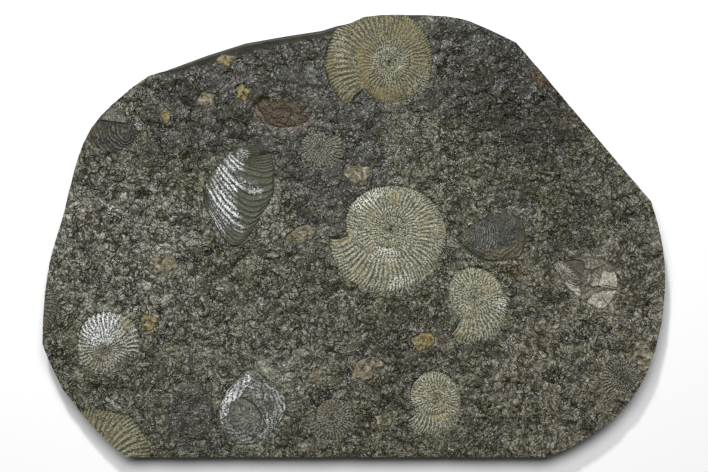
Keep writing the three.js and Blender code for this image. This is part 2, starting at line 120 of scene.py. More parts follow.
def lumps(x: Array, y: Array, size: float, degrees: float = 0) -> Array:
    """Smooth lumps from -1 to 1 on a square grid of repeatable heights.

    Args:
        x, y: Places along the two axes.
        size: Spacing of the grid.
        degrees: How far the grid is turned.

    Returns:
        The height at each place.
    """
    along, across = turned(x, y, degrees)
    column = np.floor(along / size)
    row = np.floor(across / size)
    u = smoothstep(0, 1, along / size - column)
    v = smoothstep(0, 1, across / size - row)
    lower = scatter(column, row) * (1 - u) + scatter(column + 1, row) * u
    upper = scatter(column, row + 1) * (1 - u) + scatter(column + 1, row + 1) * u
    return 2 * (lower * (1 - v) + upper * v) - 1


def wobble(along: Array) -> Array:
    """Smooth lumps from -1 to 1 along a line, with a height for each whole number."""
    return lumps(along, 0 * along, 1)


def creases(x: Array, y: Array, size: float, degrees: float = 0) -> Array:
    """Sharp winding crests, from -1 in the hollows to 1 on the crests."""
    return 1 - 2.6 * np.abs(lumps(x, y, size, degrees))


def flakes(x: Array, y: Array, size: float, degrees: float, rings: float) -> Array:
    """Overlapping tilted flakes: broken shells, each a low dome that leans its own way.

    Args:
        x, y: Places along the two axes.
        size: Mean spacing of the flakes.
        degrees: How far their grid is turned.
        rings: How strongly each shows growth ridges round its middle.

    Returns:
        The height at each place, about -1 to 1, with a sharp step from one flake to the next.
    """
    along, across = turned(x, y, degrees)
    along, across = along / size, across / size
    column, row = np.floor(along), np.floor(across)
    best = np.full(x.shape, np.inf)
    height = np.zeros_like(x)
    for step_x in (-1, 0, 1):
        for step_y in (-1, 0, 1):
            cell_x, cell_y = column + step_x, row + step_y
            pick = scatter(cell_x + 7, cell_y)
            run_x = along - cell_x - scatter(cell_x, cell_y + 19)
            run_y = across - cell_y - scatter(cell_x + 31, cell_y)
            away = np.hypot(run_x, run_y)
            reach = away - 0.35 * pick
            lean = FULL_TURN * scatter(cell_x, cell_y + 53)
            slope = run_x * np.cos(lean) + run_y * np.sin(lean)
            dome = 0.45 - 0.9 * away**2 + 1.1 * slope + 0.5 * (pick - 0.5)
            dome += rings * (pick > 0.5) * np.cos(away * (16 + 12 * pick))
            closer = reach < best
            best = np.where(closer, reach, best)
            height = np.where(closer, dome, height)
    return height


# Outlines


def smooth_curve(controls: Points, steps: int, closed: bool) -> Array:
    """Points along a centripetal Catmull-Rom curve through control points.

    Args:
        controls: The points that the curve passes through.
        steps: How many points each span between two controls gets.
        closed: Whether the curve comes back to its start, which is then not repeated.

    Returns:
        The points, one per row.
    """
    points = np.array(controls, float)
    if closed:
        ring = np.vstack([points[-1:], points, points[:2]])
    else:
        ring = np.vstack([2 * points[:1] - points[1:2], points, 2 * points[-1:] - points[-2:-1]])
    found = []
    for before, start, end, after in zip(ring, ring[1:], ring[2:], ring[3:]):
        first, second, third = (
            math.sqrt(float(np.linalg.norm(b - a))) for a, b in ((before, start), (start, end), (end, after))
        )
        leave = (start - before) / first - (end - before) / (first + second) + (end - start) / second
        arrive = (end - start) / second - (after - start) / (second + third) + (after - end) / third
        for share in np.arange(steps) / steps:
            rest = 1 - share
            straight = start * rest**2 * (1 + 2 * share) + end * share**2 * (3 - 2 * share)
            found.append(straight + second * share * rest * (leave * rest - arrive * share))
    if not closed:
        found.append(points[-1])
    return np.array(found)


def evenly_spaced(line: Array, count: int) -> Array:
    """A polyline's points spread evenly.

    Args:
        line: The polyline.
        count: How many points are wanted.

    Returns:
        Its new points, one per row.
    """
    lengths = np.concatenate([[0], np.cumsum(np.linalg.norm(np.diff(line, axis=0), axis=1))])
    at = np.linspace(0, lengths[-1], count)
    return np.column_stack([np.interp(at, lengths, line[:, axis]) for axis in (0, 1)])


def grown(outline: Array, distance: Array) -> Array:
    """A counter-clockwise outline moved outwards.

    Args:
        outline: The outline.
        distance: How far each of its points moves.

    Returns:
        The moved outline.
    """
    before = np.roll(outline, 1, axis=0)
    after = np.roll(outline, -1, axis=0)
    normals = []
    for run in (outline - before, after - outline):
        normal = np.column_stack([run[:, 1], -run[:, 0]])
        normals.append(normal / np.linalg.norm(normal, axis=1)[:, None])
    overlap = np.sum(normals[0] * normals[1], axis=1)
    mitre = (normals[0] + normals[1]) / (1 + np.maximum(overlap, -0.5))[:, None]
    return outline + mitre * np.asarray(distance)[:, None]


def nearest_on(outline: Array, places: Array) -> tuple[Array, Array, Array]:
    """How places lie to a closed counter-clockwise outline.

    Args:
        outline: Corners of the outline.
        places: Places to look at, one per row.

    Returns:
        The signed distance of each place, which is negative inside, its nearest point on the outline, and the
        outward normal there.
    """
    nearest = np.zeros_like(places)
    normals = np.zeros_like(places)
    best = np.full(len(places), np.inf)
    crossings = np.zeros(len(places), int)
    for start, end in zip(outline, np.roll(outline, -1, axis=0)):
        run = end - start
        share = np.clip((places - start) @ run / (run @ run), 0, 1)
        point = start + share[:, None] * run
        away = np.linalg.norm(places - point, axis=1)
        closer = away < best
        best[closer] = away[closer]
        nearest[closer] = point[closer]
        normals[closer] = np.array([run[1], -run[0]]) / np.linalg.norm(run)
        spans = (start[1] > places[:, 1]) != (end[1] > places[:, 1])
        rise = run[1] if abs(run[1]) > 1e-9 else 1e-9
        crossings += spans & (places[:, 0] < start[0] + run[0] * (places[:, 1] - start[1]) / rise)
    sign = np.where(crossings % 2 == 1, -1.0, 1.0)
    return sign * best, nearest, normals


# Meshes


def grid_mesh(name: str, columns: int, rows: int) -> tuple[Mesh, Array, Array]:
    """A flat grid with its place on the unit square for each vertex.

    Args:
        name: Name of the mesh.
        columns: Cells across.
        rows: Cells up.

    Returns:
        The mesh, and the two coordinates of each vertex from 0 to 1.
    """
    grid = bmesh.new()
    bmesh.ops.create_grid(grid, x_segments=columns, y_segments=rows, size=0.5)
    mesh = bpy.data.meshes.new(name)
    grid.to_mesh(mesh)
    grid.free()
    flat = read_places(mesh)
    return mesh, flat[:, 0] + 0.5, flat[:, 1] + 0.5


def read_places(mesh: Mesh) -> Array:
    """The vertices of a mesh.

    Args:
        mesh: The mesh.

    Returns:
        Their places in metres, one per row.
    """
    found = np.zeros(len(mesh.vertices) * 3, np.float32)
    mesh.vertices.foreach_get("co", found)
    return found.reshape(-1, 3).astype(float)


def write_places(mesh: Mesh, x: Array, y: Array, z: Array) -> None:
    """Moves the vertices of a mesh to places in millimetres."""
    places = np.column_stack([x, y, np.minimum(z, HIGHEST)]) * MM
    mesh.vertices.foreach_set("co", places.astype(np.float32).ravel())


def write_layer(mesh: Mesh, name: str, values: Array) -> None:
    """Stores one number for each vertex, which a finish can read by its name."""
    layer = mesh.attributes.new(name, "FLOAT", "POINT")
    layer.data.foreach_set("value", np.asarray(values, np.float32))


def write_relief(mesh: Mesh, x: Array, y: Array, height: Array, layers: dict[str, Array]) -> None:
    """Gives a surface its shape and the layers that its finish reads.

    Args:
        mesh: The surface, which is changed.
        x, y: Places of its vertices in millimetres.
        height: Their heights.
        layers: Numbers from 0 to 1 for the vertices, by name.
    """
    write_places(mesh, x, y, height)
    for name, values in layers.items():
        write_layer(mesh, name, np.clip(values, 0, 1))


def trim(mesh: Mesh, outline: Array) -> None:
    """Takes away what lies outside an outline, and draws the cells that cross it up to it.

    Args:
        mesh: The surface, which is changed.
        outline: The outline that it is cut to, counter-clockwise.
    """
    places = read_places(mesh) / MM
    distance, nearest, _ = nearest_on(outline, places[:, :2])
    outside = distance > 0
    if not outside.any():
        return
    places[outside, :2] = nearest[outside]
    mesh.vertices.foreach_set("co", (places * MM).astype(np.float32).ravel())
    flags = outside.tolist()
    work = bmesh.new()
    work.from_mesh(mesh)
    beyond = [part for part in work.faces if all(flags[vertex.index] for vertex in part.verts)]
    bmesh.ops.delete(work, geom=beyond, context="FACES")
    loose = [vertex for vertex in work.verts if not vertex.link_faces]
    bmesh.ops.delete(work, geom=loose, context="VERTS")
    bmesh.ops.remove_doubles(work, verts=work.verts, dist=MERGE_TRIMMED * MM)
    work.to_mesh(mesh)
    work.free()


def cut_grid(name: str, outline: Array, cell: float) -> Mesh:
    """A flat square grid cut to an outline.

    Args:
        name: Name of the mesh.
        outline: The outline, counter-clockwise.
        cell: Spacing of the grid.

    Returns:
        The mesh at height 0.
    """
    low, high = outline.min(axis=0) - cell, outline.max(axis=0) + cell
    cells = np.ceil((high - low) / cell).astype(int)
    mesh, u, v = grid_mesh(name, int(cells[0]), int(cells[1]))
    x, y = (low + np.column_stack([u, v]) * (high - low)).T
    write_places(mesh, x, y, np.zeros(len(u)))
    trim(mesh, outline)
    return mesh


def draw_out(work: BMesh, edges: list) -> tuple[list, list]:
    """Extrudes free edges.

    Args:
        work: The mesh in work.
        edges: Its free edges.

    Returns:
        The new vertices, and the edges that are free now.
    """
    parts = bmesh.ops.extrude_edge_only(work, edges=edges)["geom"]
    lower = [part for part in parts if isinstance(part, BMVert)]
    return lower, [part for part in parts if isinstance(part, BMEdge) and part.is_boundary]


def cap(work: BMesh, edges: list) -> None:
    """Closes a mesh over its free edges and turns its faces outwards."""
    bmesh.ops.holes_fill(work, edges=edges, sides=0)
    bmesh.ops.recalc_face_normals(work, faces=work.faces)


def close_below(mesh: Mesh, floor: float, merge: float) -> None:
    """Merges the seams of a surface, drops its free edge to a floor and closes the underside.

    Args:
        mesh: The open surface, which is changed.
        floor: Height of the underside in millimetres.
        merge: Vertices closer than this become one.
    """
    work = bmesh.new()
    work.from_mesh(mesh)
    bmesh.ops.remove_doubles(work, verts=work.verts, dist=merge * MM)
    bmesh.ops.dissolve_degenerate(work, edges=work.edges, dist=1e-3 * MM)
    lower, free = draw_out(work, [edge for edge in work.edges if edge.is_boundary])
    for vertex in lower:
        vertex.co.z = floor * MM
    cap(work, free)
    work.to_mesh(mesh)
    work.free()


@dataclass
class Piece:
    """A named mesh of the object with its finish."""

    name: str
    slot: Slot  # the record's slot that its finish belongs to

    def place(self, mesh: Mesh, material: Material, nodes: tuple[str, ...] = ()) -> Object:
        """Puts a finished mesh into the scene on the object's one body.

        Args:
            mesh: The finished mesh.
            material: Its finish.
            nodes: The nodes of the frame that the piece stands for.

        Returns:
            The new object.
        """
        for polygon in mesh.polygons:
            polygon.use_smooth = True
        mesh.set_sharp_from_angle(angle=SHARP_EDGE)
        made = bpy.data.objects.new(self.name, mesh)
        bpy.context.scene.collection.objects.link(made)
        mesh.materials.append(material)
        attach(made, "root")
        if nodes:
            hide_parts(*nodes)
        LOG.info("%s: %d faces, %s", self.name, len(mesh.polygons), self.slot.value)
        return made


@dataclass(frozen=True)
class Patch:
    """A soft-edged ellipse where a surface is raised or differs in look."""

    x: float  # middle along X
    y: float  # middle along Y
    wide: float  # reach along its own first axis
    tall: float  # reach along its second axis
    amount: float  # strength, or height in millimetres
    degrees: float = 0  # how far it is turned

    def at(self, x: Array, y: Array) -> Array:
        """Its strength, with an uneven edge.

        Args:
            x, y: Places along the two axes.

        Returns:
            The strength at each place.
        """
        along, across = turned(x - self.x, y - self.y, self.degrees)
        reach = np.hypot(along / self.wide, across / self.tall) + 0.22 * lumps(x, y, 0.35 * self.tall, 31)
        return self.amount * smoothstep(1.15, 0.7, reach)


@dataclass(frozen=True)
class Groove:
    """A crack, crease or rim along a few points."""

    line: Points  # the points it passes through
    width: float  # its full width
    depth: float  # how deep it is; a negative one stands up

    def at(self, x: Array, y: Array) -> Array:
        """What it takes away from the height, which is negative where it stands up.

        Args:
            x, y: Places along the two axes.

        Returns:
            The depth at each place.
        """
        best = np.full(x.shape, np.inf)
        path = smooth_curve(self.line, 5, closed=False) if len(self.line) > 2 else np.array(self.line, float)
        for start, end in zip(path, path[1:]):
            run = end - start
            share = np.clip(((x - start[0]) * run[0] + (y - start[1]) * run[1]) / (run @ run), 0, 1)
            best = np.minimum(best, np.hypot(x - start[0] - share * run[0], y - start[1] - share * run[1]))
        return self.depth * smoothstep(self.width / 2, 0, best)


def total(marks: tuple, x: Array, y: Array) -> Array:
    """What several patches or grooves add up to at places."""
    return sum((mark.at(x, y) for mark in marks), np.zeros_like(x))


# The rock


@dataclass(frozen=True)
class Bedding:
    """The height of the bedding surface, with its lumps, ledges, crumple and cracks."""

    swells: tuple[Patch, ...]  # broad lumps and hollows
    ledges: tuple[tuple[float, ...], ...]  # place, direction, length and step to the left
    smooth: tuple[Patch, ...]  # places where the surface is a smooth shell imprint
    coarse: tuple[Patch, ...]  # places where the crumple is stronger
    streaks: tuple[Patch, ...]  # places where the surface is drawn out into fine ripples
    grooves: tuple[Groove, ...]  # creases and raised rims
    ledge_width: float = 5  # how wide the slope of a ledge is
    rough: float = 0.75  # height of the broadest lumps
    sunk: float = 0.3  # how far the open surface lies below the fossils' level

    def broad(self, x: Array, y: Array) -> Array:
        """Height of the surface without its fine crumple.

        Args:
            x, y: Places along the two axes.

        Returns:
            The height at each place.
        """
        height = BEDDING_LEVEL + self.rough * (0.6 * lumps(x, y, 23) + 0.4 * lumps(x + 500, y, 9.5))
        height += total(self.swells, x, y)
        for at_x, at_y, degrees, length, step in self.ledges:
            along, across = turned(x - at_x, y - at_y, degrees)
            across = across + 1.2 * lumps(x, y, 5, 12)
            fade = 1 - smoothstep(length / 3, length, np.abs(along))
            near = np.exp(-((across / (3 * self.ledge_width)) ** 2))
            height += step * fade * near * smoothstep(-self.ledge_width / 6, self.ledge_width / 6, across)
        return height

    def crumple(self, x: Array, y: Array) -> Array:
        """The fine broken relief of packed shell, from a few millimetres down to one.

        Args:
            x, y: Places along the two axes.

        Returns:
            Its height at each place.
        """
        bend = 2.2 * lumps(x, y, 7, 20)
        streak = total(self.streaks, x, y)
        across = y * (1 + 0.9 * streak)
        along = x * (1 - 0.55 * streak)
        coarse = flakes(along + bend, across - bend, 7.5, 17, 0.12) * 0.8
        middle = flakes(along - bend, across + bend, 3.8, 41, 0.0) * 0.24
        winding = creases(along, across + 0.4 * bend, 3.0, 67) * 0.16
        grit = lumps(x, y, 1.5, 9) * 0.05
        strength = 0.85 + 0.35 * lumps(x, y, 16, 28) + total(self.coarse, x, y)
        calm = 1 - np.clip(total(self.smooth, x, y), 0, 0.85)
        return (coarse + middle + winding + grit) * strength * calm

    def height(self, x: Array, y: Array) -> Array:
        """Full height of the open surface, away from the fossils."""
        return self.broad(x, y) - self.sunk + self.crumple(x, y) - total(self.grooves, x, y)


@dataclass
class Plate(Piece):
    """The sawn slab, with its bedding surface on top."""

    bedding: Bedding  # height of its upper surface
    right: Points  # control points of the right edge, counter-clockwise
    left: Points  # the same for the long edge round the top and the left
    low_left: Points  # the same for the cut at the lower left
    zones: dict[str, tuple[Patch, ...]]  # where the rock is stained, cool, warm or deep in colour
    cell: float = 0.9  # spacing of the surface's grid
    arris: float = 0.7  # how far a sawn edge leans in from the back to the face
    slanted: float = 3.2  # how much more it leans along the upper left edge
    slanted_span: tuple[float, ...] = (-112, -96, -10, 8)  # where that fades in and out along X
    rolled: float = 7.5  # how wide the worn strip is along that edge
    rolled_span: tuple[float, ...] = (-112, -80, 22, 45)  # where that fades in and out along X
    rolled_depth: float = 1.6  # how far it falls to the arris
    levels: tuple[float, ...] = (0.9, 0.74, 0.56, 0.38, 0.2, 0.05, 0)  # rows down the sides

    def back(self) -> Array:
        """The outline at the back, where the slab is widest."""
        edges = [smooth_curve(edge, 2, closed=False) for edge in (self.right, self.left, self.low_left)]
        return np.vstack([edges[0], edges[1], edges[2][1:]])

    def lean(self, places: Array) -> Array:
        """How far the face stands in from the back.

        Args:
            places: Places on the outline, one per row.

        Returns:
            The distance at each place.
        """
        x, y = places.T
        along = self.upper_left(x, y, self.slanted_span)
        return self.arris + self.slanted * along

    @staticmethod
    def upper_left(x: Array, y: Array, span: tuple[float, ...]) -> Array:
        """How much a place belongs to the upper left edge, from 0 to 1, over a span of X."""
        return np.where(y > 0, smoothstep(span[0], span[1], x) * (1 - smoothstep(span[2], span[3], x)), 0)

    def face(self) -> Array:
        """The outline at the bedding surface."""
        back = self.back()
        return grown(back, -FACE_LEAN * self.lean(back))

    def build(self, finishes: "Finishes", fossils: tuple["Fossil", ...]) -> Object:
        """Makes the slab: a trimmed grid for the surface, with sides drawn down to a flat back.

        Args:
            finishes: Where the material comes from.
            fossils: What lies in the surface.

        Returns:
            The slab's object.
        """
        face = self.face()
        mesh = cut_grid(self.name, face, self.cell)
        self.shape_surface(mesh, face, fossils)
        self.draw_sides(mesh, face)
        return self.place(mesh, finishes.of(self.slot), (self.name,))

    def shape_surface(self, mesh: Mesh, face: Array, fossils: tuple["Fossil", ...]) -> None:
        """Gives the trimmed grid its relief, a bed for each fossil, and the layers that its finish reads.

        Args:
            mesh: The trimmed grid, which is changed.
            face: The outline at the surface.
            fossils: What lies in the surface.
        """
        flat = read_places(mesh)[:, :2] / MM
        x, y = flat.T
        height = self.bedding.height(x, y)
        crumple = self.bedding.crumple(x, y)
        for fossil in fossils:
            height = fossil.bed(x, y, height, crumple)
        inward = -nearest_on(face, flat)[0]
        chip = 0.25 + 0.25 * lumps(x, y, 4, 33)
        height -= chip * smoothstep(1.6, 0, inward)
        along = self.upper_left(x, y, self.rolled_span)
        reach = self.rolled * (0.75 + 0.35 * lumps(x, y, 13, 8) + 0.15 * lumps(x, y, 3, 40))
        roll = along * smoothstep(1, 0, inward / reach)
        height -= self.rolled_depth * roll
        layers = {"smooth": self.bedding.smooth, "streak": self.bedding.streaks, **self.zones}
        layers = {name: total(marks, x, y) for name, marks in layers.items()}
        write_relief(mesh, x, y, height, {**layers, "sawn": smoothstep(0.05, 0.4, roll)})

    def draw_sides(self, mesh: Mesh, face: Array) -> None:
        """Draws the surface's edge down to the flat back and closes it.

        Args:
            mesh: The shaped surface, which is changed.
            face: The outline at the surface.
        """
        work = bmesh.new()
        work.from_mesh(mesh)
        sawn = work.verts.layers.float["sawn"]
        free = [part for part in work.edges if part.is_boundary]
        rim = list({vertex for part in free for vertex in part.verts})
        flat = np.array([vertex.co.xy for vertex in rim]) / MM
        _, nearest, normals = nearest_on(face, flat)
        lean = self.lean(nearest)
        home = {vertex: (nearest[i], normals[i], lean[i], vertex.co.z / MM) for i, vertex in enumerate(rim)}
        for level in self.levels:
            lower, free = draw_out(work, free)
            home = self.drop_row(lower, home, level, sawn)
        cap(work, free)
        work.to_mesh(mesh)
        work.free()

    def drop_row(self, lower: list, above: dict, level: float, sawn: object) -> dict:
        """Moves a fresh row of side points to its level.

        Args:
            lower: The new points, which still lie on the row above.
            above: For each point above, its place on the face, its outward normal, its lean and its height.
            level: Height of the row as a share of the edge's.
            sawn: The layer that marks sawn faces.

        Returns:
            The same record for the new points.
        """
        upper = {tuple(vertex.co): facts for vertex, facts in above.items()}
        made = {}
        for vertex in lower:
            spot, normal, lean, top = upper[tuple(vertex.co)]
            x, y = spot + normal * lean * FACE_LEAN * (1 - level)
            vertex.co = Vector((x, y, level * top)) * MM
            vertex[sawn] = 1
            made[vertex] = (spot, normal, lean, top)
        return made


@dataclass
class Fossil(Piece):
    """Anything that lies in the bedding surface in a hollow of its own."""

    edge: Points = ()  # points of its outline, counter-clockwise
    grooves: tuple[Groove, ...] = ()  # cracks, creases and raised rims
    margin: float = 7  # how far its bed reaches out, over which the rock round it is calmed
    level: float = BEDDING_LEVEL  # height of the bedding surface round it
    merge: float = 0.01  # vertices closer than this become one

    def outline(self) -> Array:
        """Its smooth outline, counter-clockwise."""
        return smooth_curve(self.edge, 6, closed=True)

    def distance(self, places: Array, reach: float) -> Array:
        """How far places lie outside its outline; those out of reach get a large number.

        Args:
            places: Places to look at, one per row.
            reach: How far from the outline the distance is wanted.

        Returns:
            The distances, which are negative inside.
        """
        outline = self.outline()
        low, high = outline.min(axis=0) - reach, outline.max(axis=0) + reach
        near = np.all((places > low) & (places < high), axis=1)
        found = np.full(len(places), 1e3)
        if near.any():
            found[near] = nearest_on(outline, places[near])[0]
        return found

    def bed(self, x: Array, y: Array, height: Array, crumple: Array) -> Array:
        """Fits the rock's surface round it and sinks it underneath.

        Args:
            x, y: Places along the two axes.
            height: The rock's height at those places.
            crumple: The fine part of that height.

        Returns:
            The fitted height.
        """
        distance = self.distance(np.column_stack([x, y]), self.margin)
        calmed = BEDDING_LEVEL - BED_DROP + BED_CRUMPLE * crumple
        share = smoothstep(self.margin, BED_CALM, distance)
        fitted = height * (1 - share) + calmed * share
        under = smoothstep(*BED_EDGE, distance)
        return fitted * (1 - under) + np.minimum(fitted, FOSSIL_SEAT - BED_GAP) * under

    def surface(self, face: Array) -> Mesh:
        """Its open upper surface, cut off at the slab's outline."""
        raise NotImplementedError

    def build(self, finishes: "Finishes", face: Array, nodes: tuple[str, ...] = ()) -> Object:
        """Makes its upper surface and closes it below.

        Args:
            finishes: Where the material comes from.
            face: The slab's outline at the surface.
            nodes: The nodes of the frame that it stands for.

        Returns:
            Its object.
        """
        mesh = self.surface(face)
        close_below(mesh, min(FOSSIL_SEAT, self.level - THINNEST), self.merge)
        return self.place(mesh, finishes.of(self.slot), nodes)


# The fossils


@dataclass
class Coil(Fossil):
    """A flattened ammonite: one ribbed strip wound around its pole."""

    pole: tuple[float, float] = (0, 0)  # middle of the coil
    aperture: float = 0  # direction of its open end in degrees
    way: int = 1  # which way it winds towards the aperture; 1 is counter-clockwise
    growth: float = 1.9  # how much it widens per turn inside the listed rim
    rim: Points = ((0, 10),)  # pairs of turns before the aperture and radius; crushing has made it uneven
    ribs: int = 56  # ribs in the last turn, before they fork
    rise: float = 1.2  # height over the bedding
    relief: float = 0.3  # half the height from rib to furrow
    turns: int = 5  # how many turns are modelled
    columns: int = 720  # cells along one turn
    rows: int = 14  # cells across the whorl
    forked: float = 1.0  # how fully the ribs fork towards the rim
    bright: tuple[Patch, ...] = ()  # where the ribs are bright
    stains: tuple[Patch, ...] = ()  # where it is stained
    worn: tuple[Patch, ...] = ()  # where the ribs have gone and rock covers it
    merge: float = 0.015

    def rim_radius(self, turns: Array) -> Array:
        """Radius of the rim, on a smooth curve through the listed ones.

        Args:
            turns: Turns before the aperture.

        Returns:
            The radius at each.
        """
        at, reach = np.array(self.rim[::-1], float).T
        spot = np.arange(len(at))
        older, newer = np.maximum(spot - 1, 0), np.minimum(spot + 1, len(at) - 1)
        slope = (reach[newer] - reach[older]) / (at[newer] - at[older])
        start = np.clip(np.searchsorted(at, turns, side="right") - 1, 0, len(at) - 2)
        span = at[start + 1] - at[start]
        share = np.clip((turns - at[start]) / span, 0, 1)
        rest = 1 - share
        straight = reach[start] * rest**2 * (1 + 2 * share) + reach[start + 1] * share**2 * (3 - 2 * share)
        listed = straight + span * share * rest * (slope[start] * rest - slope[start + 1] * share)
        return np.where(turns < at[0], reach[0] * self.growth ** (turns - at[0]), listed)

    def at(self, radius: Array, turns: Array, lean: Array = 0.0) -> tuple[Array, Array]:
        """The places of points by their radius, their turns before the aperture and a lean in radians."""
        angle = math.radians(self.aperture) + self.way * (FULL_TURN * turns + lean)
        return self.pole[0] + radius * np.cos(angle), self.pole[1] + radius * np.sin(angle)

    def outline(self) -> Array:
        """Its rim over the last turn.

        Returns:
            The outline, counter-clockwise.
        """
        turns = np.linspace(-1, 0, 110)
        outline = np.column_stack(self.at(self.rim_radius(turns), turns))
        return outline if self.way > 0 else outline[::-1]

    def ribbing(self, turns: Array, share: Array) -> Array:
        """The ribs, from -1 in a furrow to 1 on a crest, each forking before it meets the outer rim.

        Args:
            turns: Turns before the aperture.
            share: Place across the whorl, 0 at its inner seam and 1 at its rim.

        Returns:
            The relief of the ribs at those places.
        """
        phase = FULL_TURN * self.ribs * (RIB_SPREAD**turns - 1) / math.log(RIB_SPREAD)
        phase = phase + 0.5 * lumps(turns * 14, share * 2, 1) + 0.35 * np.sin(2.2 * share)
        fork = smoothstep(0.5, 0.78, share + 0.1 * wobble(turns * 22)) * smoothstep(-1.25, -0.95, turns)
        single = np.cos(phase)
        double = -np.cos(2 * phase)
        rib = single * (1 - self.forked * fork) + double * self.forked * fork
        return np.sign(rib) * np.abs(rib) ** 0.8

    def surface(self, face: Array) -> Mesh:
        """Winds a grid into the upper surface of the coil, with the layers that its finish reads.

        Args:
            face: The slab's outline at the surface, where the coil is cut off.

        Returns:
            The open surface.
        """
        mesh, along, share = grid_mesh(self.name, self.turns * self.columns, self.rows)
        turns = (along - 1) * self.turns
        outer = self.rim_radius(turns) * np.clip((turns + self.turns) / FIRST_TURNS, 0, 1)
        inner = self.rim_radius(turns - 1) * np.clip((turns + self.turns - 1) / FIRST_TURNS, 0, 1)
        inner = np.where(along * self.turns < 1, 0, inner)
        last = smoothstep(-1, -0.97, turns)
        rib = self.ribbing(turns, share)
        notches = 0.55 * np.clip(rib, 0, 1) - 0.3 + 0.35 * wobble(turns * 40)
        outer = outer + last * notches * share**6
        radius = inner * (1 - share) + outer * share
        x, y = self.at(radius, turns, -RIB_BOW * np.sin(math.pi * share))
        crest = self.rise * (0.5 + 0.5 * np.exp(1.2 * turns))
        seam = self.level + 0.3 * self.rise * (0.5 + 0.5 * np.exp(1.2 * (turns - 1)))
        rim = (self.level + 0.3 * crest) * (1 - last) + (self.level - 0.25) * last
        bulge = np.clip(1 - np.abs(2 * share - 0.92) ** 2.4, 0, 1)
        whole = 1 - np.clip(total(self.worn, x, y), 0, 1)
        height = seam * (1 - share) + rim * share + 0.65 * crest * bulge
        height = self.level + (height - self.level) * (0.35 + 0.65 * whole)
        strength = (0.45 + 0.55 * np.exp(0.8 * turns)) * (0.75 + 0.35 * lumps(x, y, 6, 15)) * whole
        shallow = 1 - 0.35 * last * smoothstep(0.9, 1, share)
        height += self.relief * strength * rib * smoothstep(0, 0.12, share) * shallow
        height += 0.07 * lumps(x, y, 2.6, 35) + 0.05 * lumps(x, y, 1.1, 5) - total(self.grooves, x, y)
        opening = smoothstep(0, -0.005, turns)
        height = height * opening + (self.level - 0.3) * (1 - opening)
        height -= 0.45 * (1 - whole)
        ragged = last * smoothstep(0.84, 1, share) * np.clip(0.45 + 0.7 * lumps(x, y, 2.4, 50), 0, 1)
        height -= 0.3 * ragged
        layers = {
            "crest": 0.5 + 0.5 * rib * strength,
            "bright": total(self.bright, x, y),
            "stain": total(self.stains, x, y),
            "bare": 1 - whole + 0.8 * ragged,
        }
        write_relief(mesh, x, y, height, layers)
        trim(mesh, face)
        return mesh


@dataclass
class Mussel(Fossil):
    """A mussel whose growth ridges run from one margin to the other."""

    growth: tuple[Points, ...] = ()  # growth lines from the hinge outwards
    ridges: float = 27  # how many growth ridges it has
    rise: float = 1.3  # height of its dome
    relief: float = 0.42  # height of a growth ridge
    columns: int = 220  # cells along a growth line
    rows: int = 300  # cells from the hinge to the margin
    bright: tuple[Patch, ...] = ()  # where the shell is bright
    merge: float = 0.02

    def lay(self, around: Array, share: Array) -> tuple[Array, Array]:
        """Places on the shell.

        Args:
            around: Place along a growth line, from 0 to 1.
            share: Age of the growth line, 0 at the hinge and 1 at the margin.

        Returns:
            The places along X and Y.
        """
        at = np.linspace(0, 1, self.columns + 1)
        lines = [evenly_spaced(smooth_curve(line, 8, closed=False), self.columns + 1) for line in self.growth]
        x_lines = np.array([np.interp(around, at, line[:, 0]) for line in lines])
        y_lines = np.array([np.interp(around, at, line[:, 1]) for line in lines])
        place = share * (len(lines) - 1)
        lower = np.minimum(place.astype(int), len(lines) - 2)
        part = place - lower
        spot = np.arange(len(around))
        x = x_lines[lower, spot] * (1 - part) + x_lines[lower + 1, spot] * part
        y = y_lines[lower, spot] * (1 - part) + y_lines[lower + 1, spot] * part
        return x, y

    def surface(self, face: Array) -> Mesh:
        """Its domed upper side with its growth ridges, and the layers that its finish reads.

        Args:
            face: The slab's outline at the surface, which it stays inside of.

        Returns:
            The open surface.
        """
        mesh, around, share = grid_mesh(self.name, self.columns, self.rows)
        x, y = self.lay(around, share)
        drift = 0.9 * wobble(share * 9) + 0.25 * lumps(x, y, 9, 24) + 0.1 * lumps(x, y, 2.5, 48)
        phase = self.ridges * share + drift
        saw = phase - np.floor(phase)
        ridge = smoothstep(0.15, 0.6, saw) * smoothstep(1, 0.82, saw)
        tall = 0.55 + 0.9 * scatter(np.floor(phase), np.zeros_like(phase))
        fine = 0.5 + 0.5 * np.cos(FULL_TURN * 3 * (phase + 0.15 * lumps(x, y, 3, 15)))
        broken = 0.5 + 0.5 * wobble(around * 60) * lumps(x, y, 1.6, 40) + 0.35 * lumps(x, y, 0.9, 71)
        margins = (around, 1 - around, share, 1 - share)
        rim = np.prod([smoothstep(0, 0.05, margin) for margin in margins], axis=0)
        dome = self.rise * np.sin(math.pi * np.clip(around, 0, 1)) ** 0.6
        height = BEDDING_LEVEL - SHELL_RIM + (SHELL_STEP + dome) * rim
        height = height + self.relief * tall * (ridge - 0.5) * rim
        height += 0.12 * fine * rim - total(self.grooves, x, y)
        height += 0.12 * lumps(x, y, 2.3, 35) + 0.06 * lumps(x, y, 1.1, 5)
        shine = total(self.bright, x, y)
        layers = {
            "crest": ridge * (0.3 + 0.35 * tall) * (0.6 + 0.5 * fine) + 0.25 * broken,
            "bright": shine * (0.35 + 0.5 * tall) * (0.5 + broken),
            "stain": 0.6 - shine,
            "bare": 0.7 * (1 - rim),
        }
        write_relief(mesh, x, y, height, layers)
        trim(mesh, face)
        return mesh


